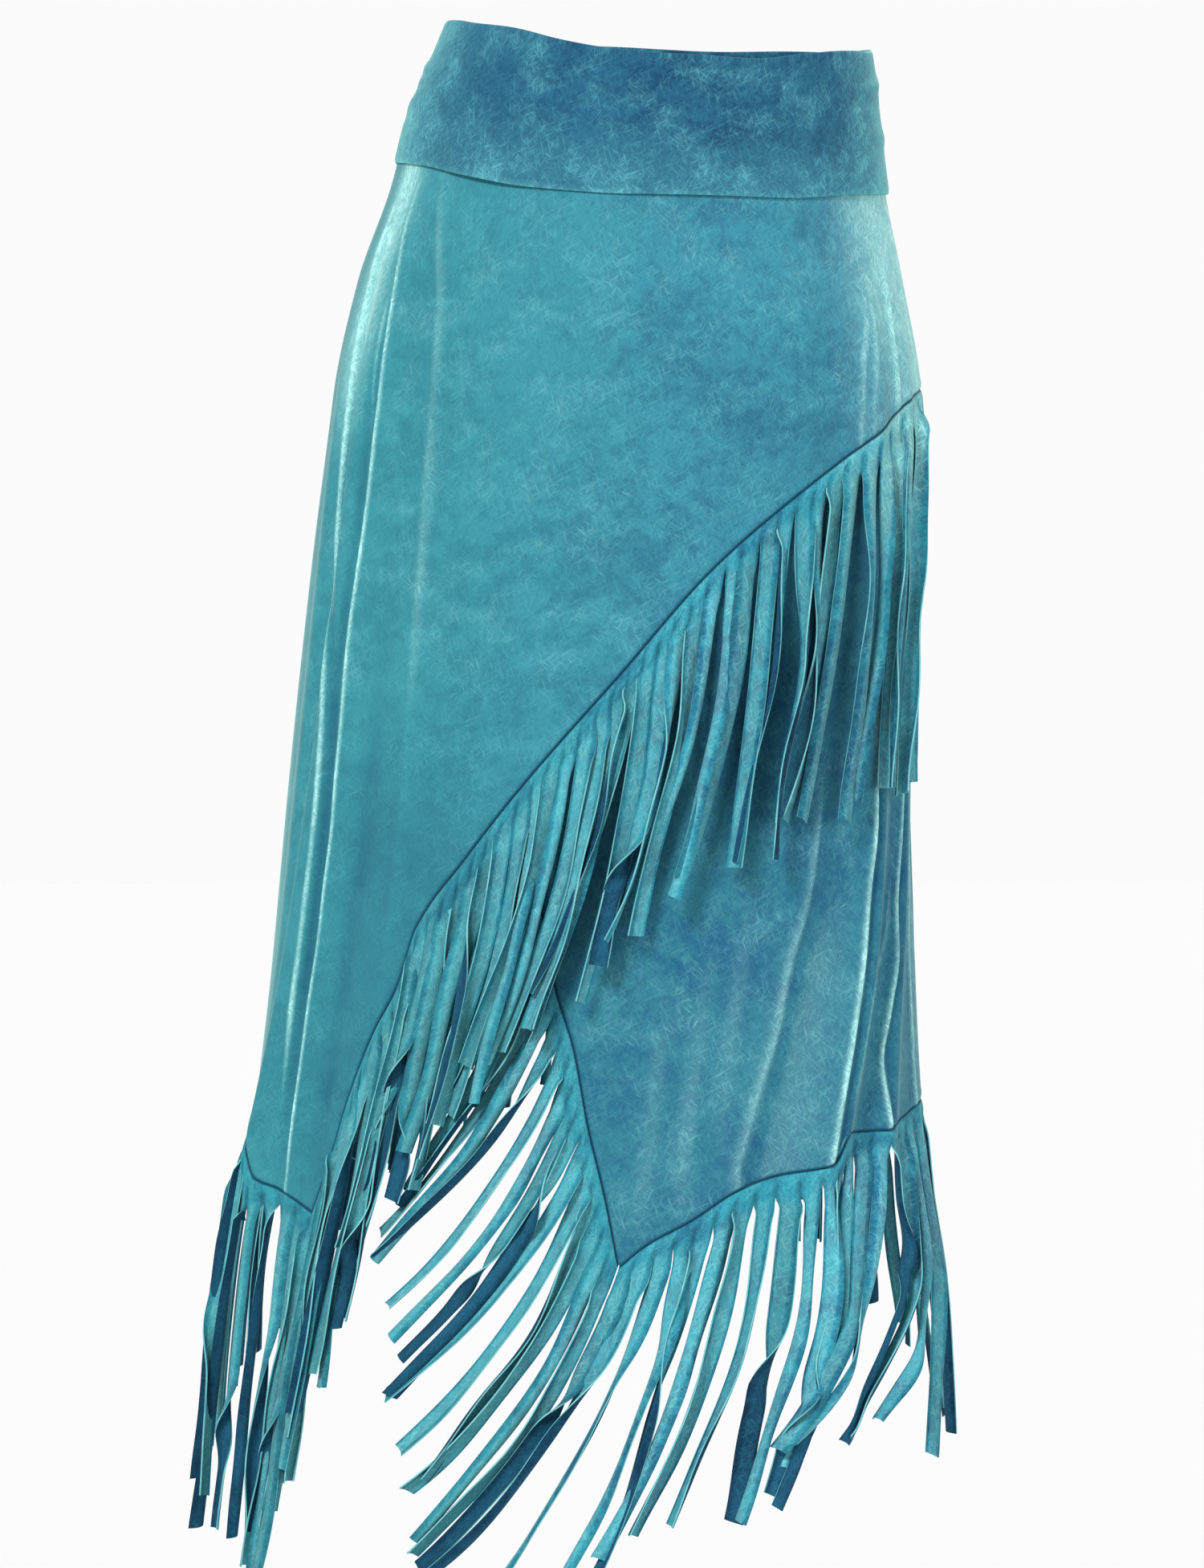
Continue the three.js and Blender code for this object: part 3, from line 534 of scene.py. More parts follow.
class Form:
    """The shape the cloth lies on: an oval section at each height, with the folds that its layers share."""

    def __init__(self) -> None:
        """Reads the sections and the band's edges."""
        heights = [level.height for level in SECTIONS]
        self.centre, self.half_width, self.front, self.back = (
            SmoothTable(heights, [getattr(level, name) for level in SECTIONS])
            for name in ("centre", "half_width", "front", "back")
        )
        self.band_top = SmoothTable(*zip(*BAND_TOP))
        self.band_bottom = SmoothTable(*zip(*BAND_BOTTOM))

    def skin(self, angle: np.ndarray, height: np.ndarray, lift: np.ndarray | float) -> np.ndarray:
        """Points on the form, moved out along its own normal.

        Args:
            angle: Degrees round the form, 0 at the front and 90 at the viewer's right.
            height: Millimetres up from the waist.
            lift: Millimetres outwards.

        Returns:
            Points in millimetres, with x, y and z last.
        """
        turn = np.radians(angle)
        across, ahead = np.sin(turn), np.cos(turn)
        half = self.half_width(height)
        depth = np.where(ahead > 0.0, self.front(height), self.back(height))
        normal_x, normal_y = across / half, -ahead / depth
        size = np.hypot(normal_x, normal_y)
        out = lift + fold_rise(SHARED_FOLDS, on_ring(angle), height)
        x = self.centre(height) + half * across + out * normal_x / size
        y = -depth * ahead + out * normal_y / size
        return np.stack(np.broadcast_arrays(x, y, height), axis=-1)

    def degree_length(self, angle: np.ndarray, height: np.ndarray) -> np.ndarray:
        """Millimetres along the form for one degree round it."""
        step = self.skin(angle + 0.5, height, 0.0) - self.skin(angle - 0.5, height, 0.0)
        return np.linalg.norm(step, axis=-1)

    def moved(
        self, angle: np.ndarray, height: np.ndarray, distance: np.ndarray | float, lean: np.ndarray | float
    ) -> tuple[np.ndarray, np.ndarray]:
        """Places moved over the form by so many millimetres.

        Args:
            angle: Degrees round the form.
            height: Millimetres up from the waist.
            distance: How far to go.
            lean: Degrees from straight down, towards a greater angle.

        Returns:
            The new angles and heights.
        """
        turn = np.radians(lean)
        return (
            angle + distance * np.sin(turn) / self.degree_length(angle, height),
            height - distance * np.cos(turn),
        )

    def seam_height(self, angle: np.ndarray) -> np.ndarray:
        """The height where the panels are sewn to the band's inner layer."""
        return self.band_bottom(on_ring(angle)) + BAND_OVERLAP

    def on_form(self, angle: np.ndarray, height: np.ndarray) -> np.ndarray:
        """Cloth that lies straight on the form."""
        return np.zeros(np.broadcast(angle, height).shape)

    def wrap_lift(self, angle: np.ndarray, height: np.ndarray) -> np.ndarray:
        """How far the wrap front stands off the form, with its own folds."""
        below = self.seam_height(angle) - height
        inside = ease(0.0, 7.0, 90.0 - np.abs(turned_from(angle, 0.0)))
        at_side, at_band, hanging = 1.25, 2.0, 3.0
        clear = blend(at_side, blend(at_band, hanging, ease(0.0, 60.0, below)), inside)
        return clear + fold_rise(WRAP_FOLDS, angle, height)


class SewnEdge:
    """The edge of a panel, which its fringe is sewn along, measured by its length."""

    def __init__(self, form: Form, points: Sequence[tuple[float, float]], lift_at: Lift) -> None:
        """Measures the edge on the form.

        Args:
            form: What the cloth lies on.
            points: Angles and heights of the edge.
            lift_at: How far the panel stands off the form.
        """
        self.form = form
        self.lift_at = lift_at
        self.height = SmoothTable(*zip(*points))
        inset, samples = 0.07, 241
        self.angles = np.linspace(points[0][0] + inset, points[-1][0] - inset, samples)
        heights = self.height(self.angles)
        places = form.skin(self.angles, heights, lift_at(self.angles, heights))
        steps = np.linalg.norm(np.diff(places, axis=0), axis=-1)
        self.run = np.concatenate([[0.0], np.cumsum(steps)])
        self.strands = round(self.run[-1] / PITCH)

    def angle_at(self, share: np.ndarray | float) -> np.ndarray:
        """The angle at a share of the edge's length."""
        return np.interp(np.asarray(share) * self.run[-1], self.run, self.angles)

    def crossing(self, at: np.ndarray, lean: np.ndarray) -> np.ndarray:
        """How much of the edge's length lies across the way that strands hang.

        Args:
            at: Shares of the edge's length.
            lean: Degrees from straight down.

        Returns:
            Shares from 0, along the edge, to 1, square to it.
        """
        start, end = self.angle_at(np.maximum(at - 0.01, 0.0)), self.angle_at(np.minimum(at + 0.01, 1.0))
        middle = self.angle_at(at)
        across = (end - start) * self.form.degree_length(middle, self.height(middle))
        up = self.height(end) - self.height(start)
        along = np.hypot(across, up)
        turn = np.radians(lean)
        return np.abs(across / along * -np.cos(turn) - up / along * np.sin(turn))


def deselect() -> None:
    """Leaves nothing selected before an operator is used."""
    if bpy.context.object and bpy.context.object.mode != "OBJECT":
        bpy.ops.object.mode_set(mode="OBJECT")
    bpy.ops.object.select_all(action="DESELECT")


def pick(piece: bpy.types.Object) -> None:
    """Selects one piece alone, for an operator to work on."""
    deselect()
    piece.select_set(True)
    bpy.context.view_layer.objects.active = piece


def read(items: bpy.types.bpy_prop_collection, name: str, width: int = 1, kind: type = float) -> np.ndarray:
    """Reads one value of every item of a mesh.

    Args:
        items: The mesh's points, edges, corners or faces, or an attribute's data.
        name: The value's name.
        width: How many numbers it holds.
        kind: What a number is.

    Returns:
        One row for each item, or one number where the width is 1.
    """
    values = np.empty(len(items) * width, dtype=kind)
    items.foreach_get(name, values)
    return values.reshape(-1, width) if width > 1 else values


def cut_cloth(name: str, columns: int, rows: int) -> tuple[bpy.types.Object, np.ndarray, np.ndarray]:
    """Lays out a flat grid of cloth, ready to be draped.

    Args:
        name: The piece's name.
        columns: Squares across.
        rows: Squares down.

    Returns:
        The object, and each point's column and row counted from the top left.
    """
    deselect()
    bpy.ops.mesh.primitive_grid_add(x_subdivisions=columns, y_subdivisions=rows, size=2.0)
    piece = bpy.context.object
    piece.name = piece.data.name = name + "_cloth"
    return piece, *grid_places(piece, columns, rows)


def grid_places(piece: bpy.types.Object, columns: int, rows: int) -> tuple[np.ndarray, np.ndarray]:
    """Each point's column and row on a flat grid that is two units wide."""
    flat = read(piece.data.vertices, "co", 3)
    column = np.rint((flat[:, 0] + 1.0) / 2.0 * columns)
    row = np.rint((1.0 - flat[:, 1]) / 2.0 * rows)
    return column, row


def drape(piece: bpy.types.Object, points: np.ndarray) -> None:
    """Moves every point of a piece to its place, given in millimetres."""
    piece.data.vertices.foreach_set("co", (points * MM).ravel())
    piece.data.update()


def write_value(piece: bpy.types.Object, name: str, values: np.ndarray) -> None:
    """Stores one number at each point, for the materials to read."""
    layer = piece.data.attributes.new(name=name, type="FLOAT", domain="POINT")
    layer.data.foreach_set("value", np.asarray(values, float))


def write_flat(piece: bpy.types.Object, across: np.ndarray, down: np.ndarray) -> None:
    """Lays the piece's UV map out in metres of flat cloth.

    Args:
        piece: The piece.
        across: Millimetres across at each point.
        down: Millimetres down at each point.
    """
    mesh = piece.data
    layer = mesh.uv_layers.active or mesh.uv_layers.new(name="flat_cloth")
    corners = read(mesh.loops, "vertex_index", kind=int)
    flat = np.stack([across[corners] * MM, -down[corners] * MM], axis=-1)
    layer.data.foreach_set("uv", flat.ravel())


def hide_sewn_edges(piece: bpy.types.Object) -> None:
    """Gives the cut edges inside a seam the reverse's finish, so that none shows along the stitching."""
    mesh = piece.data
    to_seam = read(mesh.attributes["seam_mm"].data, "value")
    slots = read(mesh.polygons, "material_index", kind=int)
    farthest = to_seam[read(mesh.loops, "vertex_index", kind=int)].reshape(-1, 4).max(axis=1)
    slots[(slots == CUT_SLOT) & (farthest < HIDDEN_RIM)] = REVERSE_SLOT
    mesh.polygons.foreach_set("material_index", slots)


def give_thickness(
    piece: bpy.types.Object, thickness: float, finishes: Sequence[bpy.types.Material]
) -> float:
    """Gives draped cloth its thickness, its reverse and its cut edge.

    Args:
        piece: The cloth's outer face.
        thickness: Millimetres, inwards.
        finishes: The materials of the face, the reverse and the cut edge.

    Returns:
        The cloth's own area in square metres.
    """
    area = float(read(piece.data.polygons, "area").sum())
    for finish in finishes:
        piece.data.materials.append(finish)
    pick(piece)
    wall = piece.modifiers.new("thickness", "SOLIDIFY")
    wall.thickness = thickness * MM
    wall.offset = -1.0
    wall.use_even_offset = True
    wall.thickness_clamp = 0.0
    wall.use_rim = True
    wall.material_offset = REVERSE_SLOT
    wall.material_offset_rim = CUT_SLOT
    bpy.ops.object.modifier_apply(modifier=wall.name)
    hide_sewn_edges(piece)
    bpy.ops.object.shade_smooth_by_angle(angle=math.radians(SMOOTH_ANGLE))
    deselect()
    return area


def linear(hexadecimal: str) -> tuple[float, float, float, float]:
    """An sRGB hex colour as linear red, green, blue and alpha."""
    parts = [int(hexadecimal[k : k + 2], 16) / 255.0 for k in (1, 3, 5)]
    low = [p / 12.92 if p <= 0.04045 else ((p + 0.055) / 1.055) ** 2.4 for p in parts]
    return (low[0], low[1], low[2], 1.0)


def add(
    tree: bpy.types.NodeTree,
    kind: str,
    inputs: dict[str | int, object] | None = None,
    **settings: object,
) -> bpy.types.Node:
    """Adds a node with its settings and links.

    Args:
        tree: The material's node tree.
        kind: The node's type.
        inputs: A value, or another node or one of its outputs, for each input.
        **settings: The node's own properties.

    Returns:
        The node.
    """
    node = tree.nodes.new(kind)
    for name, value in settings.items():
        setattr(node, name, value)
    for name, value in (inputs or {}).items():
        if isinstance(value, bpy.types.Node):
            value = value.outputs[0]
        if isinstance(value, bpy.types.NodeSocket):
            tree.links.new(value, node.inputs[name])
        else:
            node.inputs[name].default_value = value
    return node


def new_cloth(name: str) -> tuple[bpy.types.Material, bpy.types.NodeTree, bpy.types.NodeSocket]:
    """An empty material, its node tree, and the flat cloth's own coordinates."""
    made = bpy.data.materials.new(name)
    made.use_nodes = True
    made.node_tree.nodes.clear()
    return made, made.node_tree, add(made.node_tree, "ShaderNodeUVMap", uv_map="").outputs["UV"]


@dataclass(frozen=True)
class WashedJersey:
    """Cotton-modal jersey, garment dyed, then mineral washed and brushed to a sueded face.

    The eye sees soft clouds of two blues, short paler brush strokes that run every way, and a pale bloom
    where the nap is seen along the surface.
    """

    name: str
    cloth: str = "#38869a"
    deep: str = "#265f7c"
    stroke: str = "#68bac2"
    warm_side: str = "#36928f"
    # The next colour serves washing's bleach and painted highlights and sheen; the one after serves the seam
    # line and painted shade.
    wear_and_painted_light: str = "#b6f3ee"
    seam: str = "#17506e"
    nap: str = "#cffcf4"
    cloud_amount: float = 0.75
    stroke_amount: float = 0.62
    trough_amount: float = 0.5
    warm_amount: float = 0.4
    scuff_amount: float = 0.05
    sheen: float = 0.7

    @staticmethod
    def brushing(
        tree: bpy.types.NodeTree, flat: bpy.types.NodeSocket
    ) -> tuple[bpy.types.Node, bpy.types.Node]:
        """Short brush strokes in four layers, drawn a little coarser than real ones so that they show.

        Args:
            tree: The material's node tree.
            flat: The flat cloth's coordinates.

        Returns:
            How strong the pale strokes are, and how deep the troughs between them.
        """
        strokes, troughs = 0.0, 0.0
        for turn, shift, wide, long in STROKE_LAYERS:
            laid = add(tree, "ShaderNodeMapping", {
                "Vector": flat, "Location": (shift, shift * 0.7, 0.0), "Rotation": (0.0, 0.0, turn),
                "Scale": (wide * MM, long * MM, 1.0),
            }, vector_type="TEXTURE")
            line = add(tree, NOISE, {
                "Vector": laid, "Scale": 1.0, "Detail": 3.0, "Roughness": 0.6, "Distortion": 0.15,
            })
            high = add(tree, RANGE, {"Value": line, "From Min": 0.5, "From Max": 0.8}, **SOFT)
            low = add(tree, RANGE, {"Value": line, "From Min": 0.46, "From Max": 0.26}, **SOFT)
            strokes = add(tree, MATH, {0: strokes, 1: high}, operation="MAXIMUM")
            troughs = add(tree, MATH, {0: troughs, 1: low}, operation="MAXIMUM")
        return strokes, troughs

    def build(self) -> bpy.types.Material:
        """Makes the material.

        Returns:
            A material that reads the cloth's flat map and its stored values.
        """
        made, tree, flat = new_cloth(self.name)

        # Clouds of dye 40 to 120 mm across, and the mottling of 10 to 20 mm inside them.
        wide = add(tree, NOISE, {
            "Vector": flat, "Scale": 9.5, "Detail": 6.0, "Roughness": 0.62, "Distortion": 0.25,
        })
        small = add(tree, NOISE, {
            "Vector": flat, "Scale": 70.0, "Detail": 5.0, "Roughness": 0.7, "Distortion": 0.2,
        })
        both = add(tree, MATH, {0: wide, 1: small}, operation="ADD")
        clouds = add(tree, RANGE, {
            "Value": both, "From Min": 0.84, "From Max": 1.2, "To Min": 0.0, "To Max": self.cloud_amount,
        }, **SOFT)

        # The brushing comes and goes in patches.
        strokes, troughs = self.brushing(tree, flat)
        rubbed = add(tree, MATH, {0: troughs, 1: self.trough_amount}, operation="MULTIPLY")
        patchy = add(tree, NOISE, {"Vector": flat, "Scale": 34.0, "Detail": 4.0, "Roughness": 0.6})
        patch = add(tree, RANGE, {
            "Value": patchy, "From Min": 0.4, "From Max": 0.62, "To Min": 0.3, "To Max": 1.0,
        })
        brushed = add(tree, MATH, {0: strokes, 1: patch}, operation="MULTIPLY")
        brushed = add(tree, MATH, {0: brushed, 1: self.stroke_amount}, operation="MULTIPLY")

        # The dye runs greener towards the left side seam.
        place = add(tree, "ShaderNodeTexCoord").outputs["Object"]
        side = add(tree, RANGE, {
            "Value": add(tree, "ShaderNodeSeparateXYZ", {0: place}), "From Min": 0.06, "From Max": -0.2,
            "To Min": 0.0, "To Max": self.warm_amount,
        }, **SOFT)

        # Painted highlights on ridges, painted sheen on stretches at the sides, washing's bleach, and small
        # scuffs that washing has bleached, broken up by the brushing.
        wear_and_painted_light = add(tree, "ShaderNodeAttribute", attribute_name="wear_and_painted_light").outputs["Fac"]
        rough = add(tree, MATH, {0: strokes, 1: small}, operation="ADD")
        broken = add(tree, RANGE, {
            "Value": rough, "From Min": 0.35, "From Max": 1.15, "To Min": 0.45, "To Max": 1.4,
        })
        scuffs = add(tree, RANGE, {
            "Value": patchy, "From Min": 0.44, "From Max": 0.76, "To Min": 0.0, "To Max": self.scuff_amount,
        }, **SOFT)
        scuffed = add(tree, MATH, {0: wear_and_painted_light, 1: scuffs}, operation="ADD")
        bleach_and_highlight = add(tree, MATH, {0: scuffed, 1: broken}, operation="MULTIPLY", use_clamp=True)

        # Painted shade in troughs, under the fringe and along strand edges, and the seam's own shadow line on
        # each side of the stitching.
        painted_shade = add(tree, MATH, {0: wear_and_painted_light, 1: -1.0}, operation="MULTIPLY", use_clamp=True)
        seam = add(tree, "ShaderNodeAttribute", attribute_name="seam_mm").outputs["Fac"]
        shadow = add(tree, RANGE, {
            "Value": seam, "From Min": 0.5, "From Max": 1.7, "To Min": 0.92, "To Max": 0.0,
        }, **SOFT)

        colour = linear(self.cloth)
        for share, over in (
            (clouds, self.deep), (rubbed, self.deep), (brushed, self.stroke), (side, self.warm_side),
            (bleach_and_highlight, self.wear_and_painted_light), (painted_shade, self.seam), (shadow, self.seam),
        ):
            layers = {MIX_SHARE: share, MIX_FIRST: colour, MIX_SECOND: linear(over)}
            colour = add(tree, "ShaderNodeMix", layers, data_type="RGBA").outputs[MIX_RESULT]

        # Each strand takes the dye a little differently.
        tone = add(tree, "ShaderNodeAttribute", attribute_name="tone").outputs["Fac"]
        value = add(tree, RANGE, {
            "Value": tone, "From Min": -1.0, "From Max": 1.0, "To Min": 0.72, "To Max": 1.16,
        })
        toned = add(tree, "ShaderNodeHueSaturation", {"Value": value, "Color": colour})

        # The sueded nap, 1 mm tufts, and the faint pull of the brushing.
        tufts = add(tree, NOISE, {"Vector": flat, "Scale": 900.0, "Detail": 2.0, "Roughness": 0.6})
        relief = add(tree, MATH, {0: strokes, 1: tufts}, operation="ADD")
        bump = add(tree, "ShaderNodeBump", {"Strength": 0.22, "Distance": 0.0006, "Height": relief})
        face = add(tree, "ShaderNodeBsdfPrincipled", {
            "Base Color": toned, "Roughness": 0.92, "Specular IOR Level": 0.12, "Sheen Weight": self.sheen,
            "Sheen Roughness": 0.32, "Sheen Tint": linear(self.nap), "Normal": bump,
        })
        add(tree, "ShaderNodeOutputMaterial", {"Surface": face})
        return made


@dataclass(frozen=True)
class PlainJersey:
    """The raw cut edge of the jersey, knitted smooth and unbrushed.

    The eye sees one paler colour with faint clouds, where the blade opened the cloth.
    """

    name: str
    cloth: str
    deep: str
    sheen: float = 0.25
    nap: str = "#9fd8ee"

    def build(self) -> bpy.types.Material:
        """Makes the material.

        Returns:
            A material in two shades of one colour.
        """
        made, tree, flat = new_cloth(self.name)
        clouds = add(tree, NOISE, {"Vector": flat, "Scale": 42.0, "Detail": 5.0, "Roughness": 0.6})
        share = add(tree, RANGE, {"Value": clouds, "From Min": 0.35, "From Max": 0.68})
        layers = {MIX_SHARE: share, MIX_FIRST: linear(self.cloth), MIX_SECOND: linear(self.deep)}
        colour = add(tree, "ShaderNodeMix", layers, data_type="RGBA").outputs[MIX_RESULT]
        knit = add(tree, NOISE, {"Vector": flat, "Scale": 1100.0, "Detail": 1.0})
        bump = add(tree, "ShaderNodeBump", {"Strength": 0.15, "Distance": 0.0005, "Height": knit})
        face = add(tree, "ShaderNodeBsdfPrincipled", {
            "Base Color": colour, "Roughness": 0.88, "Specular IOR Level": 0.15, "Sheen Weight": self.sheen,
            "Sheen Roughness": 0.4, "Sheen Tint": linear(self.nap), "Normal": bump,
        })
        add(tree, "ShaderNodeOutputMaterial", {"Surface": face})
        return made


@dataclass
class Finishes:
    """The skirt's materials."""

    band: WashedJersey = WashedJersey(
        "band_washed_jersey", cloth="#235c79", deep="#133e60", stroke="#519fb2", warm_side="#276782",
        wear_and_painted_light="#70cdd2", cloud_amount=1.0, stroke_amount=0.7, trough_amount=0.6, warm_amount=0.2,
        scuff_amount=0.22, sheen=0.55,
    )
    wrap: WashedJersey = WashedJersey("wrap_washed_jersey")
    under: WashedJersey = WashedJersey(
        "under_washed_jersey", cloth="#2f7587", deep="#1b5379", stroke="#5cacb5", warm_amount=0.15, sheen=0.6
    )
    back: WashedJersey = WashedJersey("back_washed_jersey", cloth="#378393", deep="#255e79")
    strand: WashedJersey = WashedJersey(
        "fringe_washed_jersey", cloth="#3093a5", deep="#1b597a", stroke="#70c8ca", warm_side="#359090",
        wear_and_painted_light="#a0e2dc", seam="#0d3850", cloud_amount=0.95, stroke_amount=0.68, trough_amount=0.6,
        warm_amount=0.3, sheen=0.5,
    )
    reverse: WashedJersey = WashedJersey(
        "jersey_reverse", cloth="#1a4e6b", deep="#0c2f48", stroke="#2f7a93", warm_side="#1a5268",
        wear_and_painted_light="#2c7690", seam="#0b2a42", nap="#8fd0e6", cloud_amount=1.0, stroke_amount=0.6, warm_amount=0.2,
        sheen=0.22,
    )
    raw_edge: PlainJersey = PlainJersey("jersey_cut_edge", cloth="#78bfc0", deep="#4f9daa")

    def build(self) -> dict[str, bpy.types.Material]:
        """Makes every material, by its field's name."""
        return {name: getattr(self, name).build() for name in self.__dataclass_fields__}


@dataclass
class Panel:
    """A panel of jersey from the waist seam down to one or two sewn edges."""

    name: str
    form: Form
    edges: Sequence[SewnEdge]
    lift_at: Lift
    creases: Sequence[Crease]
    pale: Sequence[Fold]
    slot: str
    steps: Sequence[float]
    rows: int = 110
    covered_by: SewnEdge | None = None
    # How dark the painted shade is on the cloth under a fringe.
    fringe_shade: float = 0.22
    mean_radius: float = 175.0
    seam_rows: Sequence[float] = (14.0, 10.5, 7.5, 5.2, 3.6, 2.5, 1.7, 1.0, 0.5, 0.0)
    area: float = 0.0
    size: tuple[float, float] = (0.0, 0.0)

    def columns(self) -> tuple[np.ndarray, np.ndarray, np.ndarray]:
        """Where the panel's columns end.

        Returns:
            The angle, the lower edge's height, and how square the edge is to a column, at each column.
        """
        angles, bottoms, square = [], [], []
        for k, edge in enumerate(self.edges):
            count = int(edge.run[-1] / self.steps[k])
            near_ends = np.array([0.8, 1.7, 2.8]) / edge.run[-1]
            at = np.union1d(np.linspace(0.0, 1.0, count + 1), np.concatenate([near_ends, 1.0 - near_ends]))
            at = at[0 if k == 0 else 1 :]
            angle = edge.angle_at(at)
            angles.append(angle)
            bottoms.append(edge.height(angle))
            square.append(np.maximum(edge.crossing(at, np.zeros_like(at)), 0.3))
        return np.concatenate(angles), np.concatenate(bottoms), np.concatenate(square)

    def build(self, finishes: Sequence[bpy.types.Material]) -> bpy.types.Object:
        """Drapes the panel.

        Args:
            finishes: The materials of its face, reverse and cut edge.

        Returns:
            The finished piece.
        """
        angles, bottoms, square = self.columns()
        count = len(angles) - 1
        piece, column, row = cut_cloth(self.name, count, self.rows)
        column, row = column.astype(int), row.astype(int)
        angle, bottom, share = angles[column], bottoms[column], square[column]
        top = self.form.seam_height(angle) - SEAM_GAP
        last = len(self.seam_rows)
        first_seam_row = self.rows + 1 - last
        above = bottom + self.seam_rows[0] / share
        # Where the panel is short, its seam rows close up rather than pass its top.
        above = np.minimum(above, blend(bottom, top, 0.5))
        body = blend(top, above, np.clip(row / first_seam_row, 0.0, 1.0))
        near = np.asarray(self.seam_rows)[np.clip(row - first_seam_row, 0, last - 1)]
        height = np.where(row >= first_seam_row, bottom + near / self.seam_rows[0] * (above - bottom), body)
        to_edge = (height - bottom) * share
        wear_and_painted_light = fold_rise(self.pale, angle, height)
        if self.covered_by:
            # Painted shade on the cloth under the fringe, where the strands shadow it.
            under = self.covered_by.height(angle) - height
            wear_and_painted_light = wear_and_painted_light - self.fringe_shade * (1.0 - ease(110.0, 215.0, under))
        aside = np.minimum(angle - angles[0], angles[-1] - angle) * self.form.degree_length(angle, height)
        lift = self.lift_at(angle, height) + CLOTH + self.seam_relief(to_edge) - 0.5 * bell(aside, 1.5)
        for crease in self.creases:
            lift = lift + crease.rise * crease.profile(angle, height, crease.left, crease.right)
            wear_and_painted_light = wear_and_painted_light + crease.wear_and_painted_light * crease.profile(angle, height, crease.wear_and_light_left, crease.wear_and_light_right)
        drape(piece, self.form.skin(angle, height, lift))
        write_value(piece, "seam_mm", np.minimum(to_edge, aside + 0.6))
        write_value(piece, "wear_and_painted_light", np.clip(wear_and_painted_light, -0.6, 0.92))
        write_value(piece, "tone", np.zeros(len(angle)))
        write_flat(piece, np.radians(angle) * self.mean_radius, -height)
        self.area = give_thickness(piece, PANEL_WALL, finishes)
        width = run_length(self.form.skin(angles, np.maximum(bottoms, -600.0), 3.0))
        self.size = (width * MM, float(np.max(self.form.seam_height(angles) - bottoms)) * MM * 1.02)
        return piece

    @staticmethod
    def seam_relief(to_edge: np.ndarray) -> np.ndarray:
        """How the cloth dips into a seam and swells over its allowance, in millimetres."""
        return 0.35 * bell(to_edge - 4.5, 2.6) - 0.8 * bell(to_edge, 1.4)


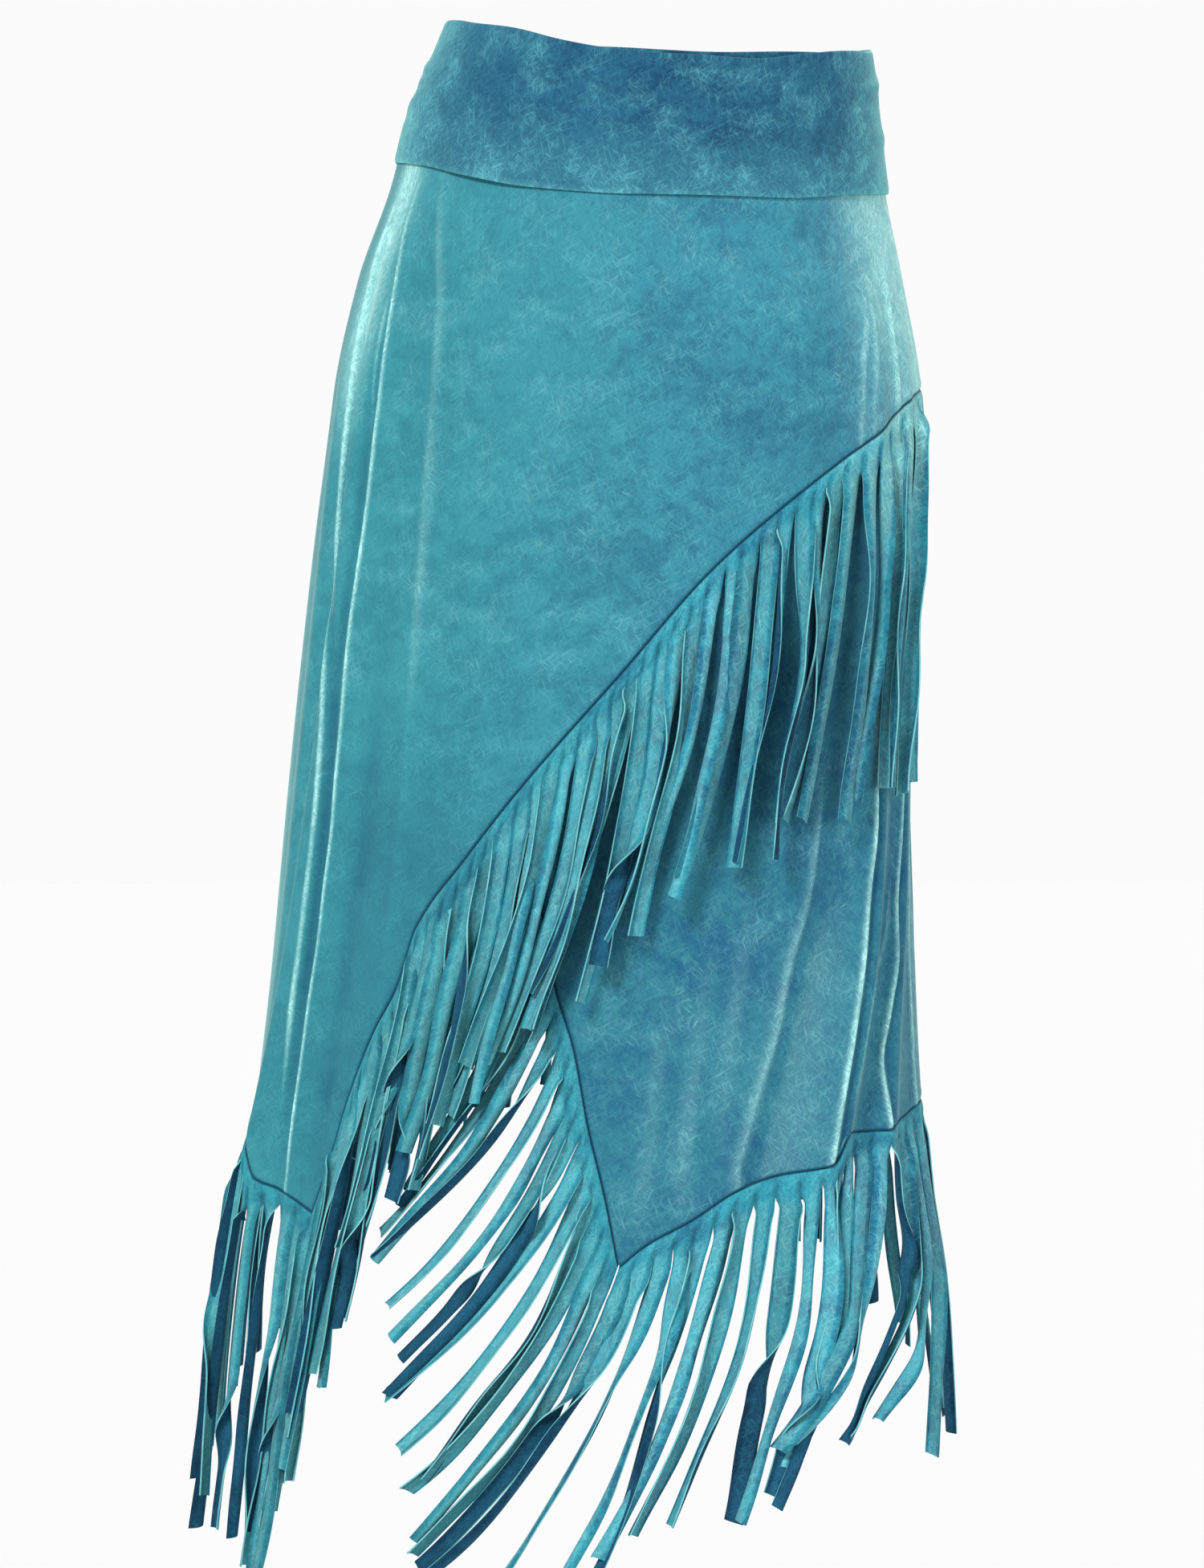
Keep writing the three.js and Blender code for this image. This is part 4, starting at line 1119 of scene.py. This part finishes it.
@dataclass
class Waistband:
    """A tube of jersey that folds down over itself, sewn on under its outer layer."""

    form: Form
    name: str = "waistband"
    columns: int = 280
    rows: int = 60
    inner_rows: int = 14
    loop_rows: int = 8
    loop: float = 1.8 + CLOTH
    drape: float = 4.4 + CLOTH
    mean_radius: float = 150.0
    area: float = 0.0
    size: tuple[float, float] = (0.0, 0.0)

    def wrinkles(self, angle: np.ndarray, down: np.ndarray) -> np.ndarray:
        """The soft creases that the waist presses into the band.

        Args:
            angle: Degrees round the form.
            down: Shares from the fold at the top, 0, to the lower edge, 1.

        Returns:
            Millimetres outwards.
        """
        total = np.zeros(len(angle))
        for crease in BAND_WRINKLES:
            away = turned_from(angle, crease.centre)
            line = crease.level + crease.slope * away / crease.reach
            total = total + crease.rise * bell(away, crease.reach) * bell(down - line, crease.width)
        return total

    def build(self, finishes: Sequence[bpy.types.Material]) -> bpy.types.Object:
        """Drapes the band from its seam up inside, over the fold and down outside.

        Args:
            finishes: The materials of its face, reverse and cut edge.

        Returns:
            The finished piece.
        """
        piece, column, row = cut_cloth(self.name, self.columns, self.rows)
        angle = LEFT_SEAM + 360.0 * column / self.columns
        top, bottom = self.form.band_top(on_ring(angle)), self.form.band_bottom(on_ring(angle))
        seam = self.form.seam_height(angle)
        # The top rolls softly: it stands proud in places and sinks in others.
        top = top + 0.9 * np.sin(np.radians(angle * 3 + 40)) * np.cos(np.radians(angle * 5))
        inner_rows, loop_rows = self.inner_rows, self.loop_rows
        outer_rows = self.rows - inner_rows - loop_rows
        inside = np.clip(row / inner_rows, 0.0, 1.0)
        over = np.clip((row - inner_rows) / loop_rows, 0.0, 1.0)
        outside = np.clip((row - inner_rows - loop_rows) / outer_rows, 0.0, 1.0) ** 0.9
        outside = np.where(row >= self.rows, 1.0, outside)
        radius = self.loop / 2.0
        height = blend(seam, top - self.loop, inside)
        lift = np.zeros(len(angle))
        roll = np.pi * over
        height = np.where(row > inner_rows, top - self.loop + self.loop * np.sin(roll) ** 0.8, height)
        lift = np.where(row > inner_rows, radius * (1.0 - np.cos(roll)), lift)
        height = np.where(row > inner_rows + loop_rows, blend(top - self.loop, bottom, outside), height)
        slack = self.edge_slack(angle) * ease(0.55, 1.0, outside)
        hung = blend(self.loop, self.drape, outside) + self.wrinkles(angle, outside) + slack
        rounded = 0.9 * ease(0.965, 1.0, outside)
        lift = np.where(row > inner_rows + loop_rows, hung - rounded, lift)
        drape(piece, self.form.skin(angle, height, lift))
        shown = row >= inner_rows
        write_value(piece, "seam_mm", np.full(len(angle), FAR_FROM_SEAM))
        # The wash is palest along the loose edge, and painted sheen pales the band where it turns at the
        # sides.
        hem = 0.14 * ease(0.4, 0.95, outside) + 0.2 * ease(0.95, 1.0, outside)
        side_sheen = 0.66 * sum(bell(on_ring(angle) - at, 24.0) for at in (-89.0, 91.0, 271.0))
        write_value(piece, "wear_and_painted_light", np.where(shown, np.clip(hem + side_sheen, 0.0, 0.8), 0.0))
        write_value(piece, "tone", np.zeros(len(angle)))
        run = np.where(row <= inner_rows, inside * 60.0, 66.0 + outside * 105.0)
        write_flat(piece, np.radians(angle) * self.mean_radius, run)
        pick(piece)
        bpy.ops.object.mode_set(mode="EDIT")
        bpy.ops.mesh.select_all(action="SELECT")
        bpy.ops.mesh.remove_doubles(threshold=0.00002)
        bpy.ops.object.mode_set(mode="OBJECT")
        self.area = give_thickness(piece, PANEL_WALL, finishes)
        around = run_length(self.form.skin(np.linspace(-90.0, 270.0, 361), np.full(361, -60.0), 5.0)) * MM
        self.size = (around, max(self.area / around * 1.004, 0.15))
        return piece

    @staticmethod
    def edge_slack(angle: np.ndarray) -> np.ndarray:
        """How far the loose lower edge stands off the panels, in millimetres."""
        total = np.zeros(len(angle))
        for centre, reach, rise in BAND_SLACK:
            total = total + rise * bell(turned_from(angle, centre), reach)
        return total


@dataclass
class Fringe:
    """A strip of jersey sewn along a panel's edge and slit by hand into strands that curl and turn."""

    name: str
    edge: SewnEdge
    hang: Sequence[Hang]
    seed: int
    slot: str = "fringe_jersey"
    turned_share: float = 0.15
    edge_on_share: float = 0.2
    rolled_share: float = 0.4
    hidden_until: float = -1.0
    quiet_first: int = 0
    quiet_last: int = 0
    strand_width: float = 11.6
    clump: float = 2.2
    inward_share: float = 0.5
    hip_sheen: float = 0.0
    rubbed: float = 0.16
    strand_edge_shade: float = 0.58
    tone: float = 0.85
    tuck: float = 1.5
    bulge: float = 1.1
    sway: float = 1.8
    across: int = 8
    strip_rows: Sequence[float] = (
        -3.0, -0.3, 0.5, 1.2, 2.0, 3.4, 5.0, 7.0, 9.0, 11.0, 13.0, 16.0, 19.0, 22.0,
    )
    first_slit_row: int = 6
    strand_rows: int = 44
    path_steps: int = 48
    area: float = 0.0
    size: tuple[float, float] = (0.0, 0.0)
    tables: dict[str, SmoothTable] = field(default_factory=dict)

    def __post_init__(self) -> None:
        """Makes a smooth curve of each of the hang table's columns."""
        keys = [row.at for row in self.hang]
        for name in ("lean_root", "lean_tip", "length", "lift", "spread", "stray"):
            self.tables[name] = SmoothTable(keys, [getattr(row, name) for row in self.hang])

    def kinds(self) -> list[Twist]:
        """How each strand turns, uneven but the same at each run."""
        shares = np.cumsum([self.turned_share, self.edge_on_share, self.rolled_share])
        kinds = (Twist.TURNED, Twist.EDGE_ON, Twist.ROLLED, Twist.FLAT)
        draws = drawn(np.arange(self.edge.strands), self.seed + Draw.TWIST)
        return [kinds[k] for k in np.searchsorted(shares, draws, side="right")]

    def quiet(self) -> np.ndarray:
        """How freely each strand curls and turns: less beside a side seam, where strands lie close."""
        index = np.arange(self.edge.strands)
        held = (index < self.quiet_first) | (index >= self.edge.strands - self.quiet_last)
        return np.where(held, 0.3, 1.0)

    def slit(self, piece: bpy.types.Object, starts: np.ndarray) -> None:
        """Cuts the strip into strands.

        Args:
            piece: The flat grid.
            starts: The row where the cut after each strand starts.
        """
        columns, rows = self.edge.strands * self.across, len(self.strip_rows) - 1 + self.strand_rows
        column, row = grid_places(piece, columns, rows)
        mesh = piece.data
        first, second = read(mesh.edges, "vertices", 2, int).T
        same = (column[first] == column[second]) & (np.mod(column[first], self.across) == 0)
        between = np.rint(column[first] / self.across).astype(int)
        inner = (between > 0) & (between < self.edge.strands)
        start = starts[np.clip(between, 0, self.edge.strands)]
        cut = same & inner & (np.minimum(row[first], row[second]) >= start)
        pick(piece)
        bpy.ops.object.mode_set(mode="EDIT")
        bpy.ops.mesh.select_mode(type="EDGE")
        bpy.ops.mesh.select_all(action="DESELECT")
        bpy.ops.object.mode_set(mode="OBJECT")
        mesh.edges.foreach_set("select", cut)
        bpy.ops.object.mode_set(mode="EDIT")
        bpy.ops.mesh.edge_split(type="EDGE")
        bpy.ops.mesh.select_all(action="DESELECT")
        bpy.ops.mesh.select_mode(type="VERT")
        bpy.ops.object.mode_set(mode="OBJECT")

    def strand_of(self, piece: bpy.types.Object, columns: int) -> np.ndarray:
        """The strand that each point belongs to, found from the faces that touch it."""
        mesh = piece.data
        place = (read(mesh.polygons, "center", 3)[:, 0] + 1.0) / 2.0 * columns
        corners = read(mesh.loops, "vertex_index", kind=int)
        total = np.bincount(corners, weights=np.repeat(place, 4), minlength=len(mesh.vertices))
        number = np.bincount(corners, minlength=len(mesh.vertices))
        return np.clip((total / number / self.across).astype(int), 0, self.edge.strands - 1)

    def paths(self) -> dict[str, np.ndarray]:
        """The centre line of every strand, in even steps from its root to its tip.

        Returns:
            Arrays of angle, height and lean with a row for each strand, and each strand's length and reach.
        """
        edge, form = self.edge, self.edge.form
        index = np.arange(edge.strands)
        at = (index + 0.5) / edge.strands
        lean_root, lean_tip = self.tables["lean_root"](at), self.tables["lean_tip"](at)
        uneven = 0.035 * stray(index, Habit.LENGTH) + 0.02 * stray(index, Habit.FINE_LENGTH)
        length = self.tables["length"](at) * (1.0 + uneven)
        wander = self.tables["stray"](at) * stray(index, Habit.WANDER)
        # Threes and fours swing together, with wider gaps between the groups.
        shown = ease(self.hidden_until, self.hidden_until + 0.08, at)
        group = index / 3.3 + 0.35 * np.sin(index * 0.9 + self.seed)
        clump = self.clump * shown * (1.0 - 2.0 * np.mod(group, 1.0))
        lean_root, lean_tip = lean_root + 0.4 * clump, lean_tip + 1.8 * clump
        share = np.maximum(edge.crossing(at, lean_root), STRIP / STRIP_LONGEST)
        angle = edge.angle_at(at)
        height = edge.height(angle)
        angle, height = form.moved(angle, height, STRIP / share, lean_root)
        steps = self.path_steps
        angles, heights, leans = [angle], [height], [lean_root]
        bend = 1.5 * self.tables["stray"](at) * stray(index, Habit.BEND)
        for k in range(1, steps + 1):
            done = k / steps
            lean = blend(lean_root, lean_tip + 2.0 * wander, done) + bend * math.sin(2.4 * math.pi * done)
            angle, height = form.moved(angle, height, length / steps, lean)
            angles.append(angle)
            heights.append(height)
            leans.append(lean)
        return {
            "angle": np.array(angles).T,
            "height": np.array(heights).T,
            "lean": np.array(leans).T,
            "length": length,
            "reach": STRIP / share,
            "share": share,
        }

    def section(
        self, strand: np.ndarray, across: np.ndarray, done: np.ndarray, width: np.ndarray, kinds: list[Twist]
    ) -> tuple[np.ndarray, np.ndarray]:
        """Where a point of a strand's curled and turned section lies.

        Args:
            strand: Each point's strand.
            across: Its share across the strand, from -0.5 to 0.5.
            done: Its share down the strand.
            width: The strand's width there, in millimetres.
            kinds: How each strand turns.

        Returns:
            Millimetres to the side and outwards from the strand's lowest line.
        """
        index = np.arange(len(kinds))
        turnings = [TURNINGS[kind] for kind in kinds]
        curls = np.array([turning.curl for turning in turnings])
        curl = blend(*curls.T, drawn(index, self.seed + Draw.CURL))
        side = np.where(stray(index, self.seed + Draw.SIDE) > 0.0, 1.0, -1.0)
        turn = np.array([turning.degrees for turning in turnings]) * side
        begins = np.array([turning.begins for turning in turnings])
        first = blend(*begins.T, drawn(index, self.seed + Draw.BEGIN))
        seen = ease(self.hidden_until, self.hidden_until + 0.05, (index + 0.5) / len(kinds))
        calm = (self.quiet() * seen)[strand]
        # Some strands roll towards the eye and show the reverse along their edges, and some away from it.
        bow = np.where(drawn(index, self.seed + Draw.BOW) < self.inward_share, -1.0, 1.0)[strand]
        wave = 20.0 * stray(index, self.seed + Draw.WAVE)
        grown = ease(first[strand], first[strand] + 0.32, done)
        phi = calm * np.radians(
            turn[strand] * grown
            + wave[strand] * np.sin(done * 5.0 + index[strand]) * ease(0.0, 0.3, done)
            + 24.0 * side[strand] * ease(-0.03, 0.06, done)
        )
        bend = curl[strand] * blend(0.65, 1.0, np.sin(done * 7.0 + index[strand] * 1.7) ** 2)
        bend = np.maximum(bend * calm * ease(-0.06, 0.06, done), 0.05)
        radius = width / bend

        def placed(share: np.ndarray) -> tuple[np.ndarray, np.ndarray]:
            """Sideways and outward place of one share across, about the section's middle."""
            theta = share * bend
            rolled = 1.0 + 0.5 * share * side[strand]
            flat = radius * np.sin(theta) * rolled
            high = bow * (radius * (np.cos(theta * rolled) - np.cos(bend / 2.0)) - radius * 0.06 * bend**2)
            return flat * np.cos(phi) - high * np.sin(phi), flat * np.sin(phi) + high * np.cos(phi)

        lowest = np.min([placed(np.full(len(strand), s))[1] for s in np.linspace(-0.5, 0.5, 9)], axis=0)
        sideways, outward = placed(across)
        return sideways, outward - lowest

    def build(self, finishes: Sequence[bpy.types.Material]) -> bpy.types.Object:
        """Cuts the strip, drapes its sewn part and lets each strand hang.

        Args:
            finishes: The materials of its face, reverse and cut edge.

        Returns:
            The finished piece.
        """
        edge, form, strands = self.edge, self.edge.form, self.edge.strands
        columns, last = strands * self.across, len(self.strip_rows) - 1
        rows = last + self.strand_rows
        piece, _, _ = cut_cloth(self.name, columns, rows)
        later = np.floor(drawn(np.arange(strands + 1), self.seed + Draw.SLIT) * 4.999)
        starts = self.first_slit_row + later.astype(int)
        self.slit(piece, starts)
        column, row = grid_places(piece, columns, rows)
        row = row.astype(int)
        strand = self.strand_of(piece, columns)
        local = np.clip(column / self.across - strand, 0.0, 1.0)
        path = self.paths()

        at = column / columns
        lean_root = self.tables["lean_root"](at)
        share = np.maximum(edge.crossing(at, lean_root), STRIP / STRIP_LONGEST)
        strip = np.asarray(self.strip_rows)
        fallen = np.clip((row - last) / self.strand_rows, 0.0, 1.0)
        near = strip[np.clip(row, 0, last)] / share
        slant = 3.2 * stray(strand, self.seed + Draw.SLANT) * (local - 0.5) * ease(0.8, 1.0, fallen)
        total = path["reach"][strand] + path["length"][strand] + slant
        distance = np.where(row <= last, near, blend(strip[-1] / share, total, fallen))

        start_angle = edge.angle_at(at)
        start_height = edge.height(start_angle)
        strip_angle, strip_height = form.moved(start_angle, start_height, distance, lean_root)
        to_edge = distance * share
        # The strip's first rows are tucked behind the panel, as its seam allowance is.
        tuck = self.tuck * (1.0 - ease(-0.2, 0.9, to_edge))
        bulge = self.bulge * np.cos(np.pi * (local - 0.5)) * ease(1.5, 9.0, to_edge)
        strip_lift = edge.lift_at(strip_angle, strip_height) + CLOTH
        strip_lift = strip_lift + Panel.seam_relief(to_edge) - tuck + bulge

        along = (distance - path["reach"][strand]) / path["length"][strand]
        steps = path["angle"].shape[1] - 1
        whole = np.clip(along * steps, 0.0, steps - 1e-6)
        low = whole.astype(int)
        part = whole - low

        def on_path(name: str) -> np.ndarray:
            """The value of a path's array part-way down each point's strand."""
            return blend(path[name][strand, low], path[name][strand, low + 1], part)

        lean = on_path("lean")
        before = np.minimum(along, 0.0) * path["length"][strand]
        after = np.maximum(along - 1.0, 0.0) * path["length"][strand]
        path_angle, path_height = form.moved(on_path("angle"), on_path("height"), before + after, lean)

        done = np.clip(along, 0.0, 1.0)
        middle = (strand + 0.5) / strands
        spread = np.mod(strand * 7, 4) / 3.0 * self.tables["spread"](middle) * 1.5 * self.quiet()[strand]
        tip_lift = np.maximum(self.tables["lift"](middle) + spread, 0.0)
        hung_root = edge.lift_at(path["angle"][strand, 0], path["height"][strand, 0])
        lift = blend(hung_root, np.maximum(tip_lift, hung_root), ease(0.0, 0.5, done)) + CLOTH
        room = PITCH * path["share"][strand]
        wider = 1.0 + 0.17 * stray(strand, self.seed + Draw.WIDTH)
        width = self.strand_width * wider * blend(1.0, 0.9, done)
        width = np.minimum(width, blend(PITCH * 0.98, room * 1.3, 0.75))
        calm = ease(self.hidden_until, self.hidden_until + 0.05, middle)
        swing = done * (1.1 + 0.5 * stray(strand, Habit.SWAY)) + strand * 0.37
        sway = self.sway * calm * np.sin(2.0 * np.pi * swing) * ease(0.1, 0.9, done)
        sideways, outward = self.section(strand, local - 0.5, done, width, self.kinds())
        strand_angle, strand_height = form.moved(path_angle, path_height, sideways + sway, lean + 90.0)

        opened = blend(strip[starts[strand]], strip[starts[strand + 1]], local)
        loose = ease(opened - 0.5, opened + 9.0, to_edge)
        angle = blend(strip_angle, strand_angle, loose)
        height = blend(strip_height, strand_height, loose)
        drape(piece, form.skin(angle, height, blend(strip_lift, lift + outward, loose)))
        write_value(piece, "seam_mm", np.abs(to_edge))
        rim = ease(0.24, 0.48, np.abs(local - 0.5))
        # The painted sheen of the hip above runs a little way down the last strands.
        hip = self.hip_sheen * ease(0.78, 0.95, at) * (1.0 - ease(5.0, 90.0, to_edge))
        # Painted shade along each strand's sides below the slit tops, where the gaps between strands fall
        # dark.
        gap_shade = self.strand_edge_shade * rim * ease(1.5, 8.0, to_edge)
        write_value(piece, "wear_and_painted_light", self.rubbed * loose + hip - gap_shade)
        write_value(piece, "tone", self.tone * stray(strand, self.seed + Draw.TONE) * loose)
        write_flat(piece, at * edge.run[-1] + self.seed * 7.0, distance)
        self.area = give_thickness(piece, STRAND_WALL, finishes)
        self.size = (float(edge.run[-1]) * MM, (STRIP + float(np.max(path["length"]))) * MM * 1.05)
        return piece


@dataclass
class Studio:
    """A plain pale floor, a bright room and soft lights."""

    floor_level: float = -1.35
    ground: str = "#e8e8e8"
    room_light: float = 0.38
    key_light: float = 2.85
    fill_light: float = 1.25
    back_light: float = 0.9
    camera_distance: float = 3.5
    sensor_height: float = 24.0
    photo_height: float = 1953.0
    metres_a_pixel: float = 0.00055
    looks_at: tuple[float, float] = (-0.0363, -0.503)

    def build(self) -> None:
        """Makes the floor, the room's light, the lamps and the camera."""
        deselect()
        bpy.ops.mesh.primitive_plane_add(size=80.0, location=(0.0, 0.0, self.floor_level))
        floor = bpy.context.object
        floor.name = "studio_floor"
        paper = bpy.data.materials.new("studio_paper")
        paper.use_nodes = True
        shade = paper.node_tree.nodes["Principled BSDF"]
        shade.inputs["Base Color"].default_value = linear(self.ground)
        shade.inputs["Roughness"].default_value = 1.0
        shade.inputs["Specular IOR Level"].default_value = 0.0
        floor.data.materials.append(paper)
        world = bpy.data.worlds.new("bright_room")
        world.use_nodes = True
        tree = world.node_tree
        tree.nodes.clear()
        # The room lights the cloth with less than its white wall shows.
        room = add(tree, "ShaderNodeBackground", {"Color": linear("#ffffff"), "Strength": self.room_light})
        wall = add(tree, "ShaderNodeBackground", {"Color": linear("#fbfbfb"), "Strength": 1.0})
        seen = add(tree, "ShaderNodeLightPath").outputs["Is Camera Ray"]
        shown = add(tree, "ShaderNodeMixShader", {0: seen, 1: room.outputs[0], 2: wall.outputs[0]})
        add(tree, "ShaderNodeOutputWorld", {"Surface": shown.outputs[0]})
        bpy.context.scene.world = world
        self.lamp("key_softbox", (-27.0, 38.0), self.key_light, 16.0)
        self.lamp("fill_softbox", (64.0, 14.0), self.fill_light, 50.0)
        self.lamp("back_softbox", (165.0, 35.0), self.back_light, 40.0)
        self.camera()
        view = bpy.context.scene.view_settings
        view.view_transform = "Standard"
        view.look = "None"
        view.exposure = 0.0
        view.gamma = 1.0

    @staticmethod
    def lamp(name: str, place: tuple[float, float], strength: float, softness: float) -> None:
        """Adds one large, distant softbox.

        Args:
            name: The lamp's name.
            place: Degrees to the right of the camera, and degrees up.
            strength: Its light, in watts a square metre.
            softness: How wide it looks from the skirt, in degrees.
        """
        data = bpy.data.lights.new(name, "SUN")
        data.energy = strength
        data.angle = math.radians(softness)
        lamp = bpy.data.objects.new(name, data)
        bpy.context.scene.collection.objects.link(lamp)
        lamp.rotation_euler = (math.radians(90.0 - place[1]), 0.0, math.radians(place[0]))

    def camera(self) -> None:
        """Stands the camera square to the skirt, as far off as its distance says."""
        data = bpy.data.cameras.new("camera")
        data.sensor_fit = "VERTICAL"
        data.sensor_height = self.sensor_height
        data.lens = self.sensor_height * self.camera_distance / (self.metres_a_pixel * self.photo_height)
        camera = bpy.data.objects.new("camera", data)
        bpy.context.scene.collection.objects.link(camera)
        camera.location = (self.looks_at[0], -self.camera_distance, self.looks_at[1])
        camera.rotation_euler = (math.radians(90.0), 0.0, 0.0)
        bpy.context.scene.camera = camera


@dataclass
class FringeSkirt:
    """The whole skirt."""

    form: Form = field(default_factory=Form)

    def build(self) -> None:
        """Makes every piece and ties it to the part's own nodes."""
        form = self.form
        made = Finishes().build()
        inner = (made["reverse"], made["raw_edge"])
        wrap_hem, wrap_diagonal = (
            SewnEdge(form, points, form.wrap_lift) for points in (WRAP_HEM, WRAP_DIAGONAL)
        )
        under_edge, under_hem, back_hem = (
            SewnEdge(form, points, form.on_form) for points in (UNDER_EDGE, UNDER_HEM, BACK_HEM)
        )
        band = Waistband(form)
        piece = band.build((made["band"], *inner))
        self.finish(band, piece, "band_jersey", ["wrap_front", "back"], "gathered")
        panels = (
            (Panel("wrap_front", form, (wrap_hem, wrap_diagonal), form.wrap_lift, WRAP_CREASES, WRAP_PALE,
                   "wrap_jersey", (1.4, 3.2)), "wrap"),
            (Panel("under_front", form, (under_edge, under_hem), form.on_form, UNDER_CREASES, UNDER_PALE,
                   "under_jersey", (5.0, 1.6), 104, wrap_diagonal), "under"),
            (Panel("back", form, (back_hem,), form.on_form, BACK_CREASES, BACK_PALE,
                   "back_jersey", (3.2,)), "back"),
        )
        for panel, finish in panels:
            self.finish(panel, panel.build((made[finish], *inner)), panel.slot, ["waistband"], "hung")
        fringes = (
            (Fringe("fringe_wrap_hem", wrap_hem, WRAP_HEM_HANG, 103, turned_share=0.24, strand_width=13.6,
                    clump=1.6, quiet_first=2), "wrap_front"),
            (Fringe("fringe_wrap_diagonal", wrap_diagonal, WRAP_DIAGONAL_HANG, 200, edge_on_share=0.14,
                    rolled_share=0.32, strand_width=13.8, clump=2.0, quiet_last=2, hip_sheen=0.6),
             "wrap_front"),
            (Fringe("fringe_under_edge", under_edge, UNDER_EDGE_HANG, 308, turned_share=0.16,
                    hidden_until=0.44, strand_width=12.0, clump=2.6), "under_front"),
            (Fringe("fringe_under_hem", under_hem, UNDER_HEM_HANG, 425, turned_share=0.2, strand_width=13.6,
                    clump=3.6, quiet_last=2), "under_front"),
            (Fringe("fringe_back", back_hem, BACK_HANG, 503, turned_share=0.2, strand_width=12.8, clump=2.8,
                    quiet_first=4, quiet_last=8), "back"),
        )
        for fringe, panel_name in fringes:
            piece = fringe.build((made["strand"], *inner))
            self.finish(fringe, piece, fringe.slot, [panel_name], "hung")

    @staticmethod
    def finish(
        maker: Waistband | Panel | Fringe,
        piece: bpy.types.Object,
        slot: str,
        hangs_from: list[str],
        held: str,
    ) -> None:
        """Ties a piece to the root's node and hides the model's own part of the same name.

        Args:
            maker: What built it, which knows its cut.
            piece: The piece.
            slot: The record's material slot; not used.
            hangs_from: What it rests on or hangs from; not used.
            held: How it is held; not used.
        """
        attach(piece, "root")
        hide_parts(maker.name)


def main() -> None:
    """Builds the skirt and its studio."""
    logging.basicConfig(level=logging.INFO, format="%(name)s %(message)s")
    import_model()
    Studio().build()
    FringeSkirt().build()


if __name__ == "__main__":
    main()
